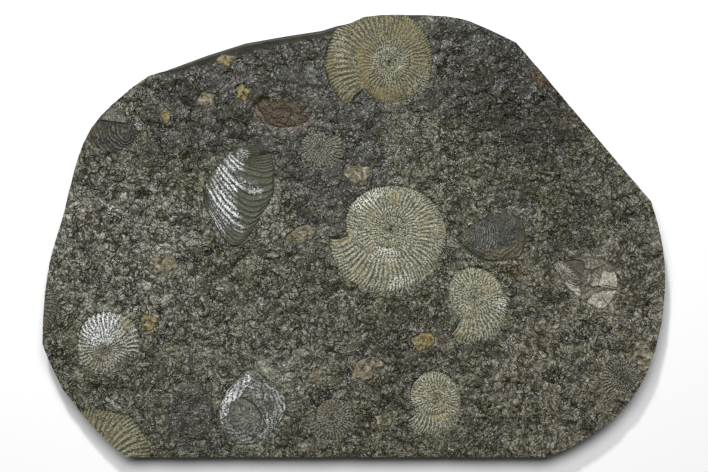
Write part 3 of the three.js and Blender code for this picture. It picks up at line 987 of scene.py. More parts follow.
@dataclass
class Sheet(Fossil):
    """A fossil whose upper side is one height field over its outline."""

    cell: float = 0.28  # spacing of its grid

    def relief(self, x: Array, y: Array, inward: Array) -> tuple[Array, dict[str, Array]]:
        """Its height and the layers of its finish, from how far each place lies inside its outline."""
        raise NotImplementedError

    def surface(self, face: Array) -> Mesh:
        """Its upper side on a grid that is cut to its outline.

        Args:
            face: The slab's outline at the surface, where it is cut off.

        Returns:
            The open surface.
        """
        outline = self.outline()
        mesh = cut_grid(self.name, outline, self.cell)
        trim(mesh, face)
        flat = read_places(mesh)[:, :2] / MM
        x, y = flat.T
        write_relief(mesh, x, y, *self.relief(x, y, -nearest_on(outline, flat)[0]))
        return mesh


@dataclass(frozen=True)
class Shard:
    """A region of a broken shell with ridges of its own."""

    edge: Points  # points round it, counter-clockwise; a shard without an edge covers the whole shell
    middle: tuple[float, float]  # point that its ridges run round
    spacing: float  # distance from one ridge to the next
    relief: float  # height of a ridge
    rise: float = 0.0  # how far it stands over the shell
    bright: float = 0.0  # how bright it is
    stain: float = 0.0  # how stained it is
    squeeze: float = 1.0  # how much closer the ridges lie along X than along Y
    rays: int = 0  # fine rays from its middle, in rays per turn
    tone: float = 0.5  # how pale it is between its ridges' furrows and crests

    def ridge(self, x: Array, y: Array) -> Array:
        """Its ridges.

        Args:
            x, y: Places along the two axes.

        Returns:
            A number for each place, from 0 in a furrow to 1 on a crest.
        """
        run_x, run_y = (x - self.middle[0]) * self.squeeze, y - self.middle[1]
        phase = np.hypot(run_x, run_y) / self.spacing
        phase = phase + 0.8 * lumps(x, y, 7, 24) + 0.3 * lumps(x, y, 2.4, 48) + 0.15 * lumps(x, y, 1, 8)
        saw = phase - np.floor(phase)
        tall = 0.4 + 0.6 * scatter(np.floor(phase), np.full_like(phase, self.spacing))
        fade = 0.55 + 0.6 * lumps(x, y, 4.5, 66)
        ridge = smoothstep(0.1, 0.55, saw) * smoothstep(1, 0.72, saw) * tall * np.clip(fade + 0.4, 0.25, 1.2)
        if self.rays:
            angle = np.arctan2(run_y, run_x) + 0.02 * lumps(x, y, 4, 12)
            ridge = 0.6 * ridge + 0.4 * (0.5 + 0.5 * np.cos(self.rays * angle))
        return ridge

    def cover(self, x: Array, y: Array) -> Array:
        """How much of it lies at places, with a broken edge.

        Args:
            x, y: Places along the two axes.

        Returns:
            The share from 0 to 1 at each place.
        """
        if not self.edge:
            return np.ones_like(x)
        outline = np.array(self.edge, float)
        distance = nearest_on(outline, np.column_stack([x, y]))[0]
        return smoothstep(0.2, -0.2, distance + 0.45 * lumps(x, y, 2.9, 22) + 0.2 * lumps(x, y, 1.2, 50))


@dataclass
class Clam(Sheet):
    """A crushed clam: a low dome of broken plates with growth ridges."""

    rise: float = 1.0  # height of its dome
    shards: tuple[Shard, ...] = ()  # its plates, the first of which is the shell itself
    raised: tuple[Patch, ...] = ()  # where it is higher or lower
    stains: tuple[Patch, ...] = ()  # where it is stained

    def relief(self, x: Array, y: Array, inward: Array) -> tuple[Array, dict[str, Array]]:
        """Its height and layers, from the shell up through its plates.

        Args:
            x, y: Places along the two axes.
            inward: How far each place lies inside the outline.

        Returns:
            The height at each place, and the layers by name.
        """
        rim = smoothstep(0, 1.3, inward)
        dome = self.rise * smoothstep(0, 0.7 * float(inward.max()), inward)
        height = BEDDING_LEVEL - SHELL_RIM + SHELL_STEP * rim + dome
        ridge, bright, stain, lift, seam = (np.zeros_like(x) for _ in range(5))
        for shard in self.shards:
            cover, own = shard.cover(x, y), shard.ridge(x, y)
            # seam marks each plate's broken edge for painted shade there: darker crest, dimmer bright, rock
            # colour
            seam = np.maximum(seam * (1 - cover), 4 * cover * (1 - cover))
            clear = min(1.0, 2.4 * shard.relief)
            ridge = ridge * (1 - cover) + (shard.tone + clear * (own - 0.4)) * cover
            lift = lift * (1 - cover) + (shard.rise + shard.relief * (own - 0.5)) * cover
            bright = bright * (1 - cover) + shard.bright * cover
            stain = stain * (1 - cover) + shard.stain * cover
        cuts = total(self.grooves, x, y)
        height += (lift + total(self.raised, x, y)) * rim - cuts
        height += 0.28 * flakes(x, y, 3.2, 12, 0.1) + 0.1 * flakes(x, y, 1.4, 44, 0)
        height += 0.05 * lumps(x, y, 1.1, 5)
        # raised rims (grooves of negative depth) get a painted highlight in the bright layer
        bright = bright * (0.85 + 0.55 * lumps(x, y, 3.1, 57)) - np.minimum(cuts, 0)
        layers = {
            "crest": 0.1 + 0.9 * ridge + 0.12 * lumps(x, y, 2.2, 71) - 0.7 * seam,
            "bright": bright * (1 - 0.6 * seam),
            "stain": stain + total(self.stains, x, y),
            # rock colour: painted shade in the cut grooves and along the seams, and the rock that covers the
            # rim
            "bare": np.clip(2 * cuts, 0, 1) + 0.35 * seam + (1 - rim) * (0.6 + 0.6 * lumps(x, y, 1.6, 18)),
        }
        return height, layers


@dataclass
class ShellBit(Sheet):
    """A broken bit of shell, pressed into the rock so that it shares its relief."""

    number: int = 0  # its number, which sets its outline
    x: float = 0  # middle along X
    y: float = 0  # middle along Y
    wide: float = 8  # its width
    tall: float = 8  # its height on the plate
    degrees: float = 0  # how far it is turned
    rise: float = 0.55  # height over the bedding
    margin: float = 3
    corners: int = 15  # points round its outline

    def outline(self) -> Array:
        """Its uneven outline.

        Returns:
            The outline, counter-clockwise.
        """
        corner = np.arange(self.corners, dtype=float)
        angle = FULL_TURN * (corner + 0.6 * scatter(corner, self.number)) / self.corners
        reach = 0.45 + 0.3 * scatter(np.full(self.corners, float(self.number)), corner)
        x, y = turned(self.wide * reach * np.cos(angle), self.tall * reach * np.sin(angle), -self.degrees)
        return smooth_curve(np.column_stack([x + self.x, y + self.y]), 3, closed=True)

    def relief(self, x: Array, y: Array, inward: Array) -> tuple[Array, dict[str, Array]]:
        """The rock's own broken relief, lifted a little.

        Args:
            x, y: Places along the two axes.
            inward: How far each place lies inside the outline.

        Returns:
            The height at each place, and the layers by name.
        """
        rim = smoothstep(0, 1.1, inward)
        broken = flakes(x, y, 3.4, 17 * self.number, 0.25) * 0.55
        broken = broken + flakes(x, y, 1.5, 31 * self.number, 0) * 0.3
        height = BEDDING_LEVEL - 0.3 + rim * self.rise + broken * (0.3 + 0.7 * rim)
        patch = lumps(x, y, 1.9, 63) + 0.6 * lumps(x, y, 0.9, 11)
        return height, {
            "crest": 0.45 + 0.7 * broken,
            "bright": 0.7 * lumps(x, y, 1.6, 12),
            "stain": 0.8 + 0.6 * lumps(x, y, 2.8, 63),
            "bare": (1 - rim) * (0.9 + 0.5 * patch) + smoothstep(0.35, 0.8, patch),
        }


class Fragment(Enum):
    """The forms that broken shell takes in the rock."""

    CHIP = "chip"
    CRESCENT = "crescent"
    VALVE = "valve"


@dataclass
class ShellHash(Piece):
    """Small fragments of one form strewn over the bedding surface, joined as one mesh."""

    form: Fragment  # what each fragment looks like
    count: int  # how many there are
    sizes: tuple[float, float]  # smallest and largest half width
    tilt: float  # how far they lie out of level at most, in degrees
    sink: float  # how deep they sit in the rock, as a share of their size
    seed: int  # start of the draws

    def template(self) -> tuple[Array, list[tuple[int, ...]]]:
        """Makes one fragment of unit size.

        Returns:
            Its points and its faces.
        """
        work = bmesh.new()
        if self.form is Fragment.CHIP:
            bmesh.ops.create_cone(work, cap_ends=True, segments=6, radius1=1, radius2=0.6, depth=0.3)
        else:
            columns, rows = (7, 2) if self.form is Fragment.CRESCENT else (9, 6)
            bmesh.ops.create_grid(work, x_segments=columns, y_segments=rows, size=0.5)
            for vertex in work.verts:
                self.bend(vertex)
            lower, free = draw_out(work, [edge for edge in work.edges if edge.is_boundary])
            for vertex in lower:
                vertex.co.z = -0.45
            bmesh.ops.holes_fill(work, edges=free, sides=0)
        bmesh.ops.recalc_face_normals(work, faces=work.faces)
        work.verts.index_update()
        points = np.array([vertex.co[:] for vertex in work.verts])
        faces = [tuple(vertex.index for vertex in part.verts) for part in work.faces]
        work.free()
        return points, faces

    def bend(self, vertex: BMVert) -> None:
        """Bends a flat grid into an arc, or into a fan with growth ridges.

        Args:
            vertex: A vertex of the grid, which is moved.
        """
        along, share = vertex.co.x + 0.5, vertex.co.y + 0.5
        if self.form is Fragment.CRESCENT:
            angle = math.radians(-88 + 176 * along)
            thick = 0.17 * math.sin(math.pi * along) + 0.03
            reach = 1 - thick * (1 - share)
            height = 0.04 + 0.22 * math.sin(math.pi * share) * math.sin(math.pi * along)
        else:
            angle = math.radians(-62 + 124 * along)
            reach = 0.12 + 0.88 * share
            dome = 0.26 * math.sin(math.pi * (0.15 + 0.8 * share)) * math.sin(math.pi * (0.1 + 0.8 * along))
            height = dome + (0.09 if round(share * 6) % 2 else -0.05)
        vertex.co = Vector((reach * math.cos(angle) - 0.5, reach * math.sin(angle), height))

    def build(self, finishes: "Finishes", bedding: Bedding, face: Array, fossils: tuple[Fossil, ...]) -> None:
        """Strews the fragments over the surface, clear of the fossils.

        Args:
            finishes: Where the material comes from.
            bedding: Height of the surface.
            face: The slab's outline at the surface.
            fossils: What the fragments stay clear of.
        """
        draw = np.random.default_rng(self.seed)
        smallest, largest = self.sizes
        low, high = face.min(axis=0), face.max(axis=0)
        spots = low + draw.random((self.count * STRAYS, 2)) * (high - low)
        x, y = spots.T
        keep = nearest_on(face, spots)[0] < -largest - HASH_MARGIN
        keep &= bedding.height(x, y) < HIGHEST - HASH_HEADROOM
        keep &= draw.random(len(x)) > total(bedding.smooth, x, y)
        for fossil in fossils:
            keep &= fossil.distance(spots, largest) > HASH_OVERLAP * largest
        spots = spots[keep][: self.count]
        count = len(spots)
        size = smallest + (largest - smallest) * draw.random(count) ** SMALL_BIAS
        points, faces = self.template()
        level = bedding.height(spots[:, 0], spots[:, 1]) - self.sink * size
        turn = FULL_TURN * draw.random(count)
        lie = FULL_TURN * draw.random(count)
        tip = np.radians(self.tilt) * draw.random(count)
        squeeze = np.ones((count, 3))
        squeeze[:, 1] = 0.55 + 0.45 * draw.random(count)
        body = points[None, :, :] * size[:, None, None] * squeeze[:, None, :]
        spun = self.rotate(body, turn, (0, 1))
        laid = self.rotate(self.rotate(self.rotate(spun, lie, (0, 1)), tip, (1, 2)), -lie, (0, 1))
        laid += np.column_stack([spots, level])[:, None, :]
        laid[:, :, 2] = np.minimum(laid[:, :, 2], HIGHEST)
        mesh = bpy.data.meshes.new(self.name)
        starts = range(0, count * len(points), len(points))
        whole = [tuple(start + corner for corner in part) for start in starts for part in faces]
        mesh.from_pydata((laid.reshape(-1, 3) * MM).tolist(), [], whole)
        # crest is each point's height in the fragment, which the hash finish turns into painted light
        write_layer(mesh, "crest", np.tile(np.clip(0.5 + 2 * points[:, 2], 0, 1), count))
        write_layer(mesh, "tone", np.repeat(draw.random(count), len(points)))
        self.place(mesh, finishes.hash)

    @staticmethod
    def rotate(places: Array, angle: Array, axes: tuple[int, int]) -> Array:
        """Turns each fragment's points by its own angle in the plane of two axes.

        Args:
            places: The points of each fragment.
            angle: The angle of each fragment.
            axes: Numbers of the two axes.

        Returns:
            The turned points.
        """
        first, second = axes
        cosine, sine = np.cos(angle)[:, None], np.sin(angle)[:, None]
        result = places.copy()
        result[:, :, first] = places[:, :, first] * cosine - places[:, :, second] * sine
        result[:, :, second] = places[:, :, first] * sine + places[:, :, second] * cosine
        return result


# Finishes


def linear(colour: str) -> tuple[float, ...]:
    """A colour written as six hexadecimal digits, as linear red, green, blue and alpha."""
    parts = (int(colour[at : at + 2], 16) / 255 for at in (0, 2, 4))
    return (*(part / 12.92 if part <= 0.04045 else ((part + 0.055) / 1.055) ** 2.4 for part in parts), 1.0)


class Graph:
    """A shader node tree that is filled in a line at a time."""

    def __init__(self, tree: NodeTree) -> None:
        """Starts from an empty tree."""
        self.tree = tree
        self.tree.nodes.clear()

    def add(self, kind: str, inputs: dict, output: str | int = 0, **settings: object) -> object:
        """Adds a node.

        Args:
            kind: Its type.
            inputs: Values or sockets for its inputs, by name or number.
            output: Which of its outputs is wanted.
            settings: Its own properties.

        Returns:
            The wanted output socket, or the node where it has none.
        """
        node = self.tree.nodes.new(kind)
        for name, value in settings.items():
            setattr(node, name, value)
        for name, value in inputs.items():
            if isinstance(value, bpy.types.NodeSocket):
                self.tree.links.new(value, node.inputs[name])
            else:
                node.inputs[name].default_value = value
        return node.outputs[output] if len(node.outputs) else node

    def layer(self, name: str) -> object:
        """The number stored at each vertex under a name."""
        return self.add("ShaderNodeAttribute", {}, "Fac", attribute_name=name)

    def math(self, operation: str, first: object, second: object = 0.0) -> object:
        """Two numbers put together."""
        return self.add("ShaderNodeMath", {0: first, 1: second}, operation=operation)

    def plus(self, first: object, second: object) -> object:
        """The sum of two numbers."""
        return self.math("ADD", first, second)

    def minus(self, first: object, second: object) -> object:
        """The difference of two numbers."""
        return self.math("SUBTRACT", first, second)

    def times(self, first: object, second: object) -> object:
        """The product of two numbers."""
        return self.math("MULTIPLY", first, second)

    def vector(self, operation: str, first: object, second: object, output: str = "Vector") -> object:
        """Two vectors put together, or one scaled by a number."""
        inputs = {0: first, "Scale" if operation == "SCALE" else 1: second}
        return self.add("ShaderNodeVectorMath", inputs, output, operation=operation)

    def blend(self, share: object, first: object, second: object, way: str = "MIX") -> object:
        """Two colours mixed."""
        inputs = {0: share, 6: first, 7: second}
        return self.add("ShaderNodeMix", inputs, 2, data_type="RGBA", blend_type=way)

    def cover(self, colour: object, share: object, over: str) -> object:
        """A colour covered by a share of another, which is given in hexadecimal."""
        return self.blend(share, colour, linear(over))

    def shade(self, colour: object, lift: object) -> object:
        """A colour made lighter or darker by a number."""
        grey = self.add("ShaderNodeCombineColor", {0: lift, 1: lift, 2: lift})
        return self.blend(1.0, colour, grey, "MULTIPLY")

    def remap(self, value: object, low: float, high: float, start: float = 0.0, end: float = 1.0) -> object:
        """A number moved smoothly from one range to another."""
        inputs = {"Value": value, "From Min": low, "From Max": high, "To Min": start, "To Max": end}
        return self.add("ShaderNodeMapRange", inputs, interpolation_type="SMOOTHSTEP")

    def cloud(self, place: object, scale: float, detail: float, output: str = "Fac", **more: float) -> object:
        """Noise with a number of lumps in the unit of its places."""
        inputs = {"Vector": place, "Scale": scale, "Detail": detail, **more}
        return self.add("ShaderNodeTexNoise", inputs, output)

    def noise(self, place: object, size: float, detail: float) -> object:
        """Noise whose lumps are about a size in millimetres."""
        return self.cloud(place, 1 / (size * MM), detail)

    def cells(self, place: object, output: str) -> object:
        """Irregular cells, one in the unit of its places."""
        return self.add("ShaderNodeTexVoronoi", {"Vector": place, "Scale": 1.0}, output)

    def picks(self, colour: object) -> object:
        """The red, green and blue of a colour, as outputs by name."""
        return self.add("ShaderNodeSeparateColor", {"Color": colour}).node.outputs

    def bent(self, place: object, scale: float, amount: float) -> object:
        """Places pushed about by noise."""
        push = self.vector("SCALE", self.cloud(place, scale, 2.0, "Color"), amount)
        return self.vector("ADD", place, push)

    def stretched(self, place: object, scale: Spot, turn: float = 0.0) -> object:
        """Places squeezed along the axes, after a turn about Z in degrees."""
        inputs = {"Vector": place, "Rotation": (0, 0, math.radians(turn)), "Scale": scale}
        return self.add("ShaderNodeMapping", inputs)

    def bump(self, height: object, depth: float, strength: object = 1.0, **more: object) -> dict[str, object]:
        """A normal bent by a height that is a depth in millimetres, as an input by its name."""
        inputs = {"Height": height, "Distance": depth * MM, "Strength": strength, **more}
        return {"Normal": self.add("ShaderNodeBump", inputs)}

    def effect(self, shared: NodeTree, place: object, per_metre: float, **more: object) -> object:
        """The outputs of one use of a shared effect, with a number of its marks in a metre."""
        inputs = {"Place": place, "Per metre": per_metre, **more}
        return self.add("ShaderNodeGroup", inputs, node_tree=shared).node.outputs

    def wander(self, mottle: NodeTree, place: object, per_metre: float, *colours: str) -> object:
        """A colour that wanders between two, which are given in hexadecimal."""
        first, second = (linear(colour) for colour in colours)
        return self.effect(mottle, place, per_metre, First=first, Second=second)["Color"]

    def close(self, outputs: dict[str, object]) -> NodeTree:
        """Ends a group with what it puts out."""
        self.add("NodeGroupOutput", outputs)
        return self.tree


class SharedEffects:
    """Effects that more than one finish uses, each built once as a node group."""

    def __init__(self) -> None:
        """Builds the groups."""
        self.scales = self.make_scales()
        self.terraces = self.make_terraces()
        self.strokes = self.make_strokes()
        self.cracks = self.make_cracks()
        self.mottle = self.make_mottle()
        self.blotch = self.make_blotch()

    @staticmethod
    def start(name: str, inputs: dict[str, str], outputs: dict[str, str]) -> tuple[Graph, object, object]:
        """Starts a group, whose first inputs are a place and how many of its marks lie in a metre.

        Args:
            name: Name of the group.
            inputs: Type of each further input by its name.
            outputs: Type of each output by its name.

        Returns:
            Its graph, its inputs by name, and the place in units of its marks.
        """
        tree = bpy.data.node_groups.new(name, "ShaderNodeTree")
        for title, kind in {"Place": "Vector", "Per metre": "Float", **inputs}.items():
            tree.interface.new_socket(title, in_out="INPUT", socket_type="NodeSocket" + kind)
        for title, kind in outputs.items():
            tree.interface.new_socket(title, in_out="OUTPUT", socket_type="NodeSocket" + kind)
        graph = Graph(tree)
        given = tree.nodes.new("NodeGroupInput").outputs
        return graph, given, graph.vector("SCALE", given["Place"], given["Per metre"])

    def make_scales(self) -> NodeTree:
        """Broken, scaly relief: small domed scales that lean their own ways, some ringed, with grit on top.

        Returns:
            The group.
        """
        outputs = {"Height": "Float", "Facet": "Float", "Ring": "Float"}
        graph, given, scaled = self.start("scales", {"Rings": "Float", "Grit": "Float"}, outputs)
        bent = graph.bent(scaled, 0.9, 1.5)
        middle = graph.cells(bent, "Position")
        away, tone = middle.node.outputs["Distance"], middle.node.outputs["Color"]
        pick = graph.picks(tone)
        lean = graph.vector("SUBTRACT", tone, (0.5, 0.5, 0.5))
        tilt = graph.vector("DOT_PRODUCT", graph.vector("SUBTRACT", bent, middle), lean, "Value")
        swell = graph.cloud(scaled, 1.1, 3.0, Roughness=0.6)
        turn = graph.plus(graph.times(away, 11.0), graph.times(pick["Blue"], FULL_TURN))
        wave = graph.math("SINE", graph.plus(turn, graph.times(swell, 16.0)))
        ring = graph.minus(graph.remap(wave, 0.1, 1.0), graph.times(graph.remap(wave, -0.2, -1.0), 0.7))
        ring = graph.times(ring, graph.remap(pick["Green"], 0.15, 0.7))
        height = graph.plus(graph.times(swell, 0.7), graph.times(tilt, 0.8))
        height = graph.minus(height, graph.times(graph.math("POWER", away, 2.0), 0.25))
        height = graph.plus(height, graph.times(ring, given["Rings"]))
        height = graph.plus(height, graph.times(graph.cloud(scaled, 4.0, 1.0), given["Grit"]))
        return graph.close({"Height": height, "Facet": pick["Red"], "Ring": ring})

    def make_terraces(self) -> NodeTree:
        """Thin leaves of rock broken back one over another, as terraces with crisp winding edges.

        Returns:
            The group.
        """
        outputs = {"Height": "Float", "Brink_highlight": "Float", "Foot_shade": "Float"}
        graph, given, scaled = self.start("terraces", {"Steps": "Float"}, outputs)
        level = graph.times(graph.cloud(scaled, 1.0, 2.0, Distortion=0.9), given["Steps"])
        part = graph.math("FRACT", level)
        climb = graph.plus(graph.math("FLOOR", level), graph.remap(part, 0.72, 1.0))
        height = graph.math("DIVIDE", climb, given["Steps"])
        # the foot and brink masks serve only for colour: painted shade at each step's foot, a painted
        # highlight on its brink
        foot_shade = graph.times(graph.remap(part, 0.5, 0.75), graph.remap(part, 1.0, 0.9))
        return graph.close({"Height": height, "Brink_highlight": graph.remap(part, 0.22, 0.0), "Foot_shade": foot_shade})

    def make_strokes(self) -> NodeTree:
        """Thin strokes side by side in small fields that each run their own way, some of them in curls.

        Returns:
            The group.
        """
        graph, _, scaled = self.start("strokes", {}, {"Height": "Float"})
        bent = graph.bent(scaled, 1.3, 1.4)
        turn = graph.times(graph.picks(graph.cells(bent, "Color"))["Red"], FULL_TURN)
        along = graph.add("ShaderNodeVectorRotate", {"Vector": bent, "Angle": turn}, rotation_type="Z_AXIS")
        straight = graph.cloud(graph.stretched(along, (1.2, 8.0, 1.0)), 1.0, 1.0)
        spread = graph.vector("SCALE", bent, 0.6)
        away = graph.cells(spread, "Distance")
        pick = graph.picks(away.node.outputs["Color"])
        around = {0: graph.times(away, 11.0), 1: graph.times(pick["Blue"], 40.0)}
        around = graph.vector("ADD", graph.add("ShaderNodeCombineXYZ", around), spread)
        curled = graph.cloud(around, 1.0, 1.0)
        here = graph.times(graph.remap(pick["Green"], 0.4, 0.5), graph.remap(away, 0.55, 0.4))
        height = graph.plus(straight, graph.times(graph.minus(curled, straight), here))
        return graph.close({"Height": height})

    def make_cracks(self) -> NodeTree:
        """Thin crevices that come and go, as a mask, which the shale sinks in and fills with painted shade.

        Returns:
            The group.
        """
        graph, _, scaled = self.start("cracks", {}, {"Mask": "Float"})
        bend = graph.cloud(scaled, 1.0, 4.0, Distortion=0.5)
        line = graph.remap(graph.math("ABSOLUTE", graph.minus(bend, 0.52)), 0.035, 0.005)
        here = graph.remap(graph.cloud(scaled, 0.8, 1.0), 0.42, 0.6)
        return graph.close({"Mask": graph.times(line, here)})

    def make_mottle(self) -> NodeTree:
        """A colour that wanders between two at two sizes.

        Returns:
            The group.
        """
        graph, given, scaled = self.start("mottle", {"First": "Color", "Second": "Color"}, {"Color": "Color"})
        wide, fine = graph.cloud(scaled, 1.0, 3.0), graph.cloud(scaled, 6.5, 2.0)
        share = graph.remap(graph.plus(graph.times(wide, 0.55), graph.times(fine, 0.45)), 0.36, 0.64)
        return graph.close({"Color": graph.blend(share, given["First"], given["Second"])})

    def make_blotch(self) -> NodeTree:
        """Scattered soft blotches, as a mask.

        Returns:
            The group.
        """
        graph, given, scaled = self.start("blotch", {"Cover": "Float"}, {"Mask": "Float"})
        wide = graph.cloud(scaled, 1.0, 4.0, Roughness=0.6)
        over = graph.plus(graph.minus(wide, 0.72), given["Cover"])
        return graph.close({"Mask": graph.remap(over, 0.0, 0.12)})


def new_material(name: str) -> tuple[Material, Graph, object]:
    """A bare material.

    Args:
        name: Its name.

    Returns:
        The material, its graph and the place of each point in the object.
    """
    material = bpy.data.materials.new(name)
    material.use_nodes = True
    graph = Graph(material.node_tree)
    return material, graph, graph.add("ShaderNodeTexCoord", {}, "Object")


def finish_surface(graph: Graph, colour: object, roughness: object, gloss: float, **more: object) -> None:
    """Ends a material's graph with its shader.

    Args:
        graph: The material's graph.
        colour: The base colour.
        roughness: The roughness.
        gloss: The specular level.
        more: The shader's other inputs by name.
    """
    inputs = {"Base Color": colour, "Roughness": roughness, "Specular IOR Level": gloss, **more}
    shader = graph.add("ShaderNodeBsdfPrincipled", inputs)
    graph.add("ShaderNodeOutputMaterial", {"Surface": shader})


@dataclass(frozen=True)
class ShaleFinish:
    """Dark bituminous shale: flaky and glossy, with painted light and shade on its relief, and sawn on its
    sides.
    """

    dark: str = "3e3d2b"  # darker colour of the mottle
    light: str = "58553e"  # lighter colour of the mottle
    olive: str = "484526"  # colour that it wanders to over wide patches
    cool: str = "6a6b5f"  # colour of the paler, bluish rock
    warm: str = "6e6957"  # colour of the brownish rock
    deep: str = "232115"  # colour of the darkest rock
    rust: str = "5c4526"  # colour of the stains
    fleck: str = "9a9a8f"  # colour of the finest shell splinters
    painted_glint: str = "90908a"  # colour of the painted glints on the brightest crests
    crack_shade: str = "12110d"  # colour of the painted shade in the cracks
    saw: tuple[str, str] = ("1c1a12", "2b281b")  # colours of the sawn sides

    def build(self, effects: SharedEffects) -> Material:
        """Builds the material.

        Args:
            effects: The shared effects.

        Returns:
            The material.
        """
        material, graph, place = new_material("shale")
        smooth, streak, sawn = graph.layer("smooth"), graph.layer("streak"), graph.layer("sawn")
        open_rock = graph.minus(1.0, graph.math("MAXIMUM", graph.times(smooth, 0.75), sawn))
        calm = graph.math("MAXIMUM", graph.layer("deep"), smooth)
        ledges = graph.effect(effects.terraces, place, 80.0, Steps=8.0)
        leaves = graph.effect(effects.terraces, place, 210.0, Steps=5.0)
        flaky = graph.effect(effects.scales, place, 330.0, Rings=0.045, Grit=0.05)
        chaff = graph.effect(effects.scales, place, 1300.0, Rings=0.0, Grit=0.2)
        drawn = graph.stretched(place, (0.35, 1.5, 1), 18)
        lines = graph.effect(effects.scales, drawn, 640.0, Rings=0.0, Grit=0.3)
        strokes = graph.effect(effects.strokes, place, 190.0)["Height"]
        cracks = graph.times(graph.effect(effects.cracks, place, 120.0)["Mask"], open_rock)
        cooled = graph.times(graph.layer("cool"), 0.4)
        contrast = graph.minus(graph.plus(0.85, cooled), graph.times(calm, 0.4))
        # lift is mostly painted light and shade: lighter on the strokes' crests, darker in their hollows,
        # stronger where cool
        lift = graph.math("POWER", graph.remap(strokes, 0.3, 0.7, 0.35, 1.95), contrast)
        # the factors add a random tone per facet, painted light and shade on scale rings and terraces, and
        # paler juvenile ribs
        for factor in (
            graph.remap(chaff["Facet"], 0.0, 1.0, 0.85, 1.2),
            graph.plus(1.0, graph.times(flaky["Ring"], 0.35)),
            graph.plus(1.0, graph.times(graph.layer("crest"), 0.9)),
            # painted highlight along the terrace brinks, painted shade at their feet
            graph.remap(ledges["Brink_highlight"], 0.0, 1.0, 1.0, 1.6),
            graph.remap(ledges["Foot_shade"], 0.0, 1.0, 1.0, 0.4),
            graph.remap(leaves["Brink_highlight"], 0.0, 1.0, 1.0, 1.5),
            graph.remap(leaves["Foot_shade"], 0.0, 1.0, 1.0, 0.5),
        ):
            lift = graph.times(lift, factor)
        lift = graph.math("MAXIMUM", lift, 0.12)
        # the rock's colour with the painted light and shade multiplied in
        rock = graph.shade(self.colours(effects, graph, place), lift)
        # painted glint: where the painted light is strongest, the colour fades to a pale grey
        pale = graph.times(graph.remap(lift, 1.3, 2.6, 0.0, 0.6), graph.minus(1.0, calm))
        rock = graph.cover(rock, pale, self.painted_glint)
        rock = graph.cover(rock, graph.times(graph.remap(chaff["Facet"], 0.86, 0.95), 0.5), self.fleck)
        # painted shade in the cracks
        rock = graph.cover(rock, graph.times(cracks, 0.85), self.crack_shade)
        sides = graph.wander(effects.mottle, graph.stretched(place, (1, 1, 7)), 60.0, *self.saw)
        part = graph.remap(open_rock, 0.0, 1.0, 0.2, 1.0)
        relief = {}
        for height, depth, strength in (
            (ledges["Height"], 1.7, open_rock),
            (leaves["Height"], 0.5, part),
            (flaky["Height"], 0.28, part),
            (lines["Height"], 0.8, graph.times(streak, 0.9)),
            (strokes, 0.5, graph.minus(1.0, graph.times(calm, 0.4))),
            (chaff["Height"], 0.08, 1.0),
            (graph.minus(1.0, cracks), 0.35, 1.0),
        ):
            relief = graph.bump(height, depth, strength, **relief)
        dull = graph.remap(graph.noise(place, 9, 3), 0.35, 0.65, 0.2, 0.46)
        dull = graph.plus(dull, graph.times(graph.layer("deep"), 0.08))
        dull = graph.plus(dull, graph.times(sawn, 0.5))
        finish_surface(graph, graph.blend(sawn, rock, sides), dull, 0.5, **relief)
        return material

    def colours(self, effects: SharedEffects, graph: Graph, place: object) -> object:
        """The rock's own colour from place to place, before its relief shades it.

        Args:
            effects: The shared effects.
            graph: The material's graph.
            place: The place of each point in the object.

        Returns:
            The colour.
        """
        rock = graph.wander(effects.mottle, place, 110.0, self.dark, self.light)
        tint = graph.effect(effects.blotch, place, 34.0, Cover=0.22)["Mask"]
        rock = graph.cover(rock, graph.times(tint, 0.28), self.olive)
        zones = (("cool", 0.6, self.cool), ("warm", 0.6, self.warm), ("deep", 0.95, self.deep))
        for zone, share, colour in zones:
            rock = graph.cover(rock, graph.times(graph.layer(zone), share), colour)
        return graph.cover(rock, graph.layer("stain"), self.rust)


@dataclass(frozen=True)
class FossilFinish:
    """Thin flattened shell: pale ribs, rock-coloured furrows, stains and bright patches."""

    name: str  # name of the material
    furrow: str  # colour between the ribs
    crest: str  # colour on the ribs
    bright: str  # colour where the shell still shines, and of the painted highlight on the clams' raised rims
    stain: str  # colour of the stains
    rock: str = "3b3a2a"  # colour of the rock that covers it in places, and of the painted shade in the clams' grooves and seams
    shine: float = 0.38  # roughness on the ribs
    grain: float = 0.34  # depth of its fine relief in millimetres
    speck: float = 0.6  # how strongly fine flecks break up the ribs

    def build(self, effects: SharedEffects) -> Material:
        """Builds the material.

        Args:
            effects: The shared effects.

        Returns:
            The material.
        """
        material, graph, place = new_material(self.name)
        crest, bright, bare = graph.layer("crest"), graph.layer("bright"), graph.layer("bare")
        fleck = graph.remap(graph.noise(place, 0.8, 3), 0.3, 0.7, -self.speck, self.speck)
        ridge = graph.remap(graph.plus(crest, fleck), 0.1, 1.0)
        shell = graph.blend(ridge, linear(self.furrow), linear(self.crest))
        patches = graph.effect(effects.blotch, place, 90.0, Cover=0.2)["Mask"]
        shell = graph.cover(shell, graph.times(patches, 0.35), self.stain)
        shell = graph.cover(shell, graph.times(graph.layer("stain"), 0.6), self.stain)
        silver = graph.blend(ridge, linear(self.furrow), linear(self.bright))
        shell = graph.blend(bright, shell, silver)
        dirt = graph.effect(effects.blotch, place, 420.0, Cover=0.2)["Mask"]
        dirt = graph.times(dirt, graph.minus(0.6, graph.times(bright, 0.4)))
        shell = graph.cover(shell, graph.math("MAXIMUM", bare, dirt), self.rock)
        grain = graph.effect(effects.scales, place, 1050.0, Rings=0.0, Grit=0.5)["Height"]
        polish = graph.times(graph.times(ridge, bright), 0.14)
        dull = graph.minus(graph.remap(ridge, 0.0, 1.0, 0.6, self.shine), polish)
        finish_surface(graph, shell, dull, 0.6, **graph.bump(grain, self.grain))
        return material


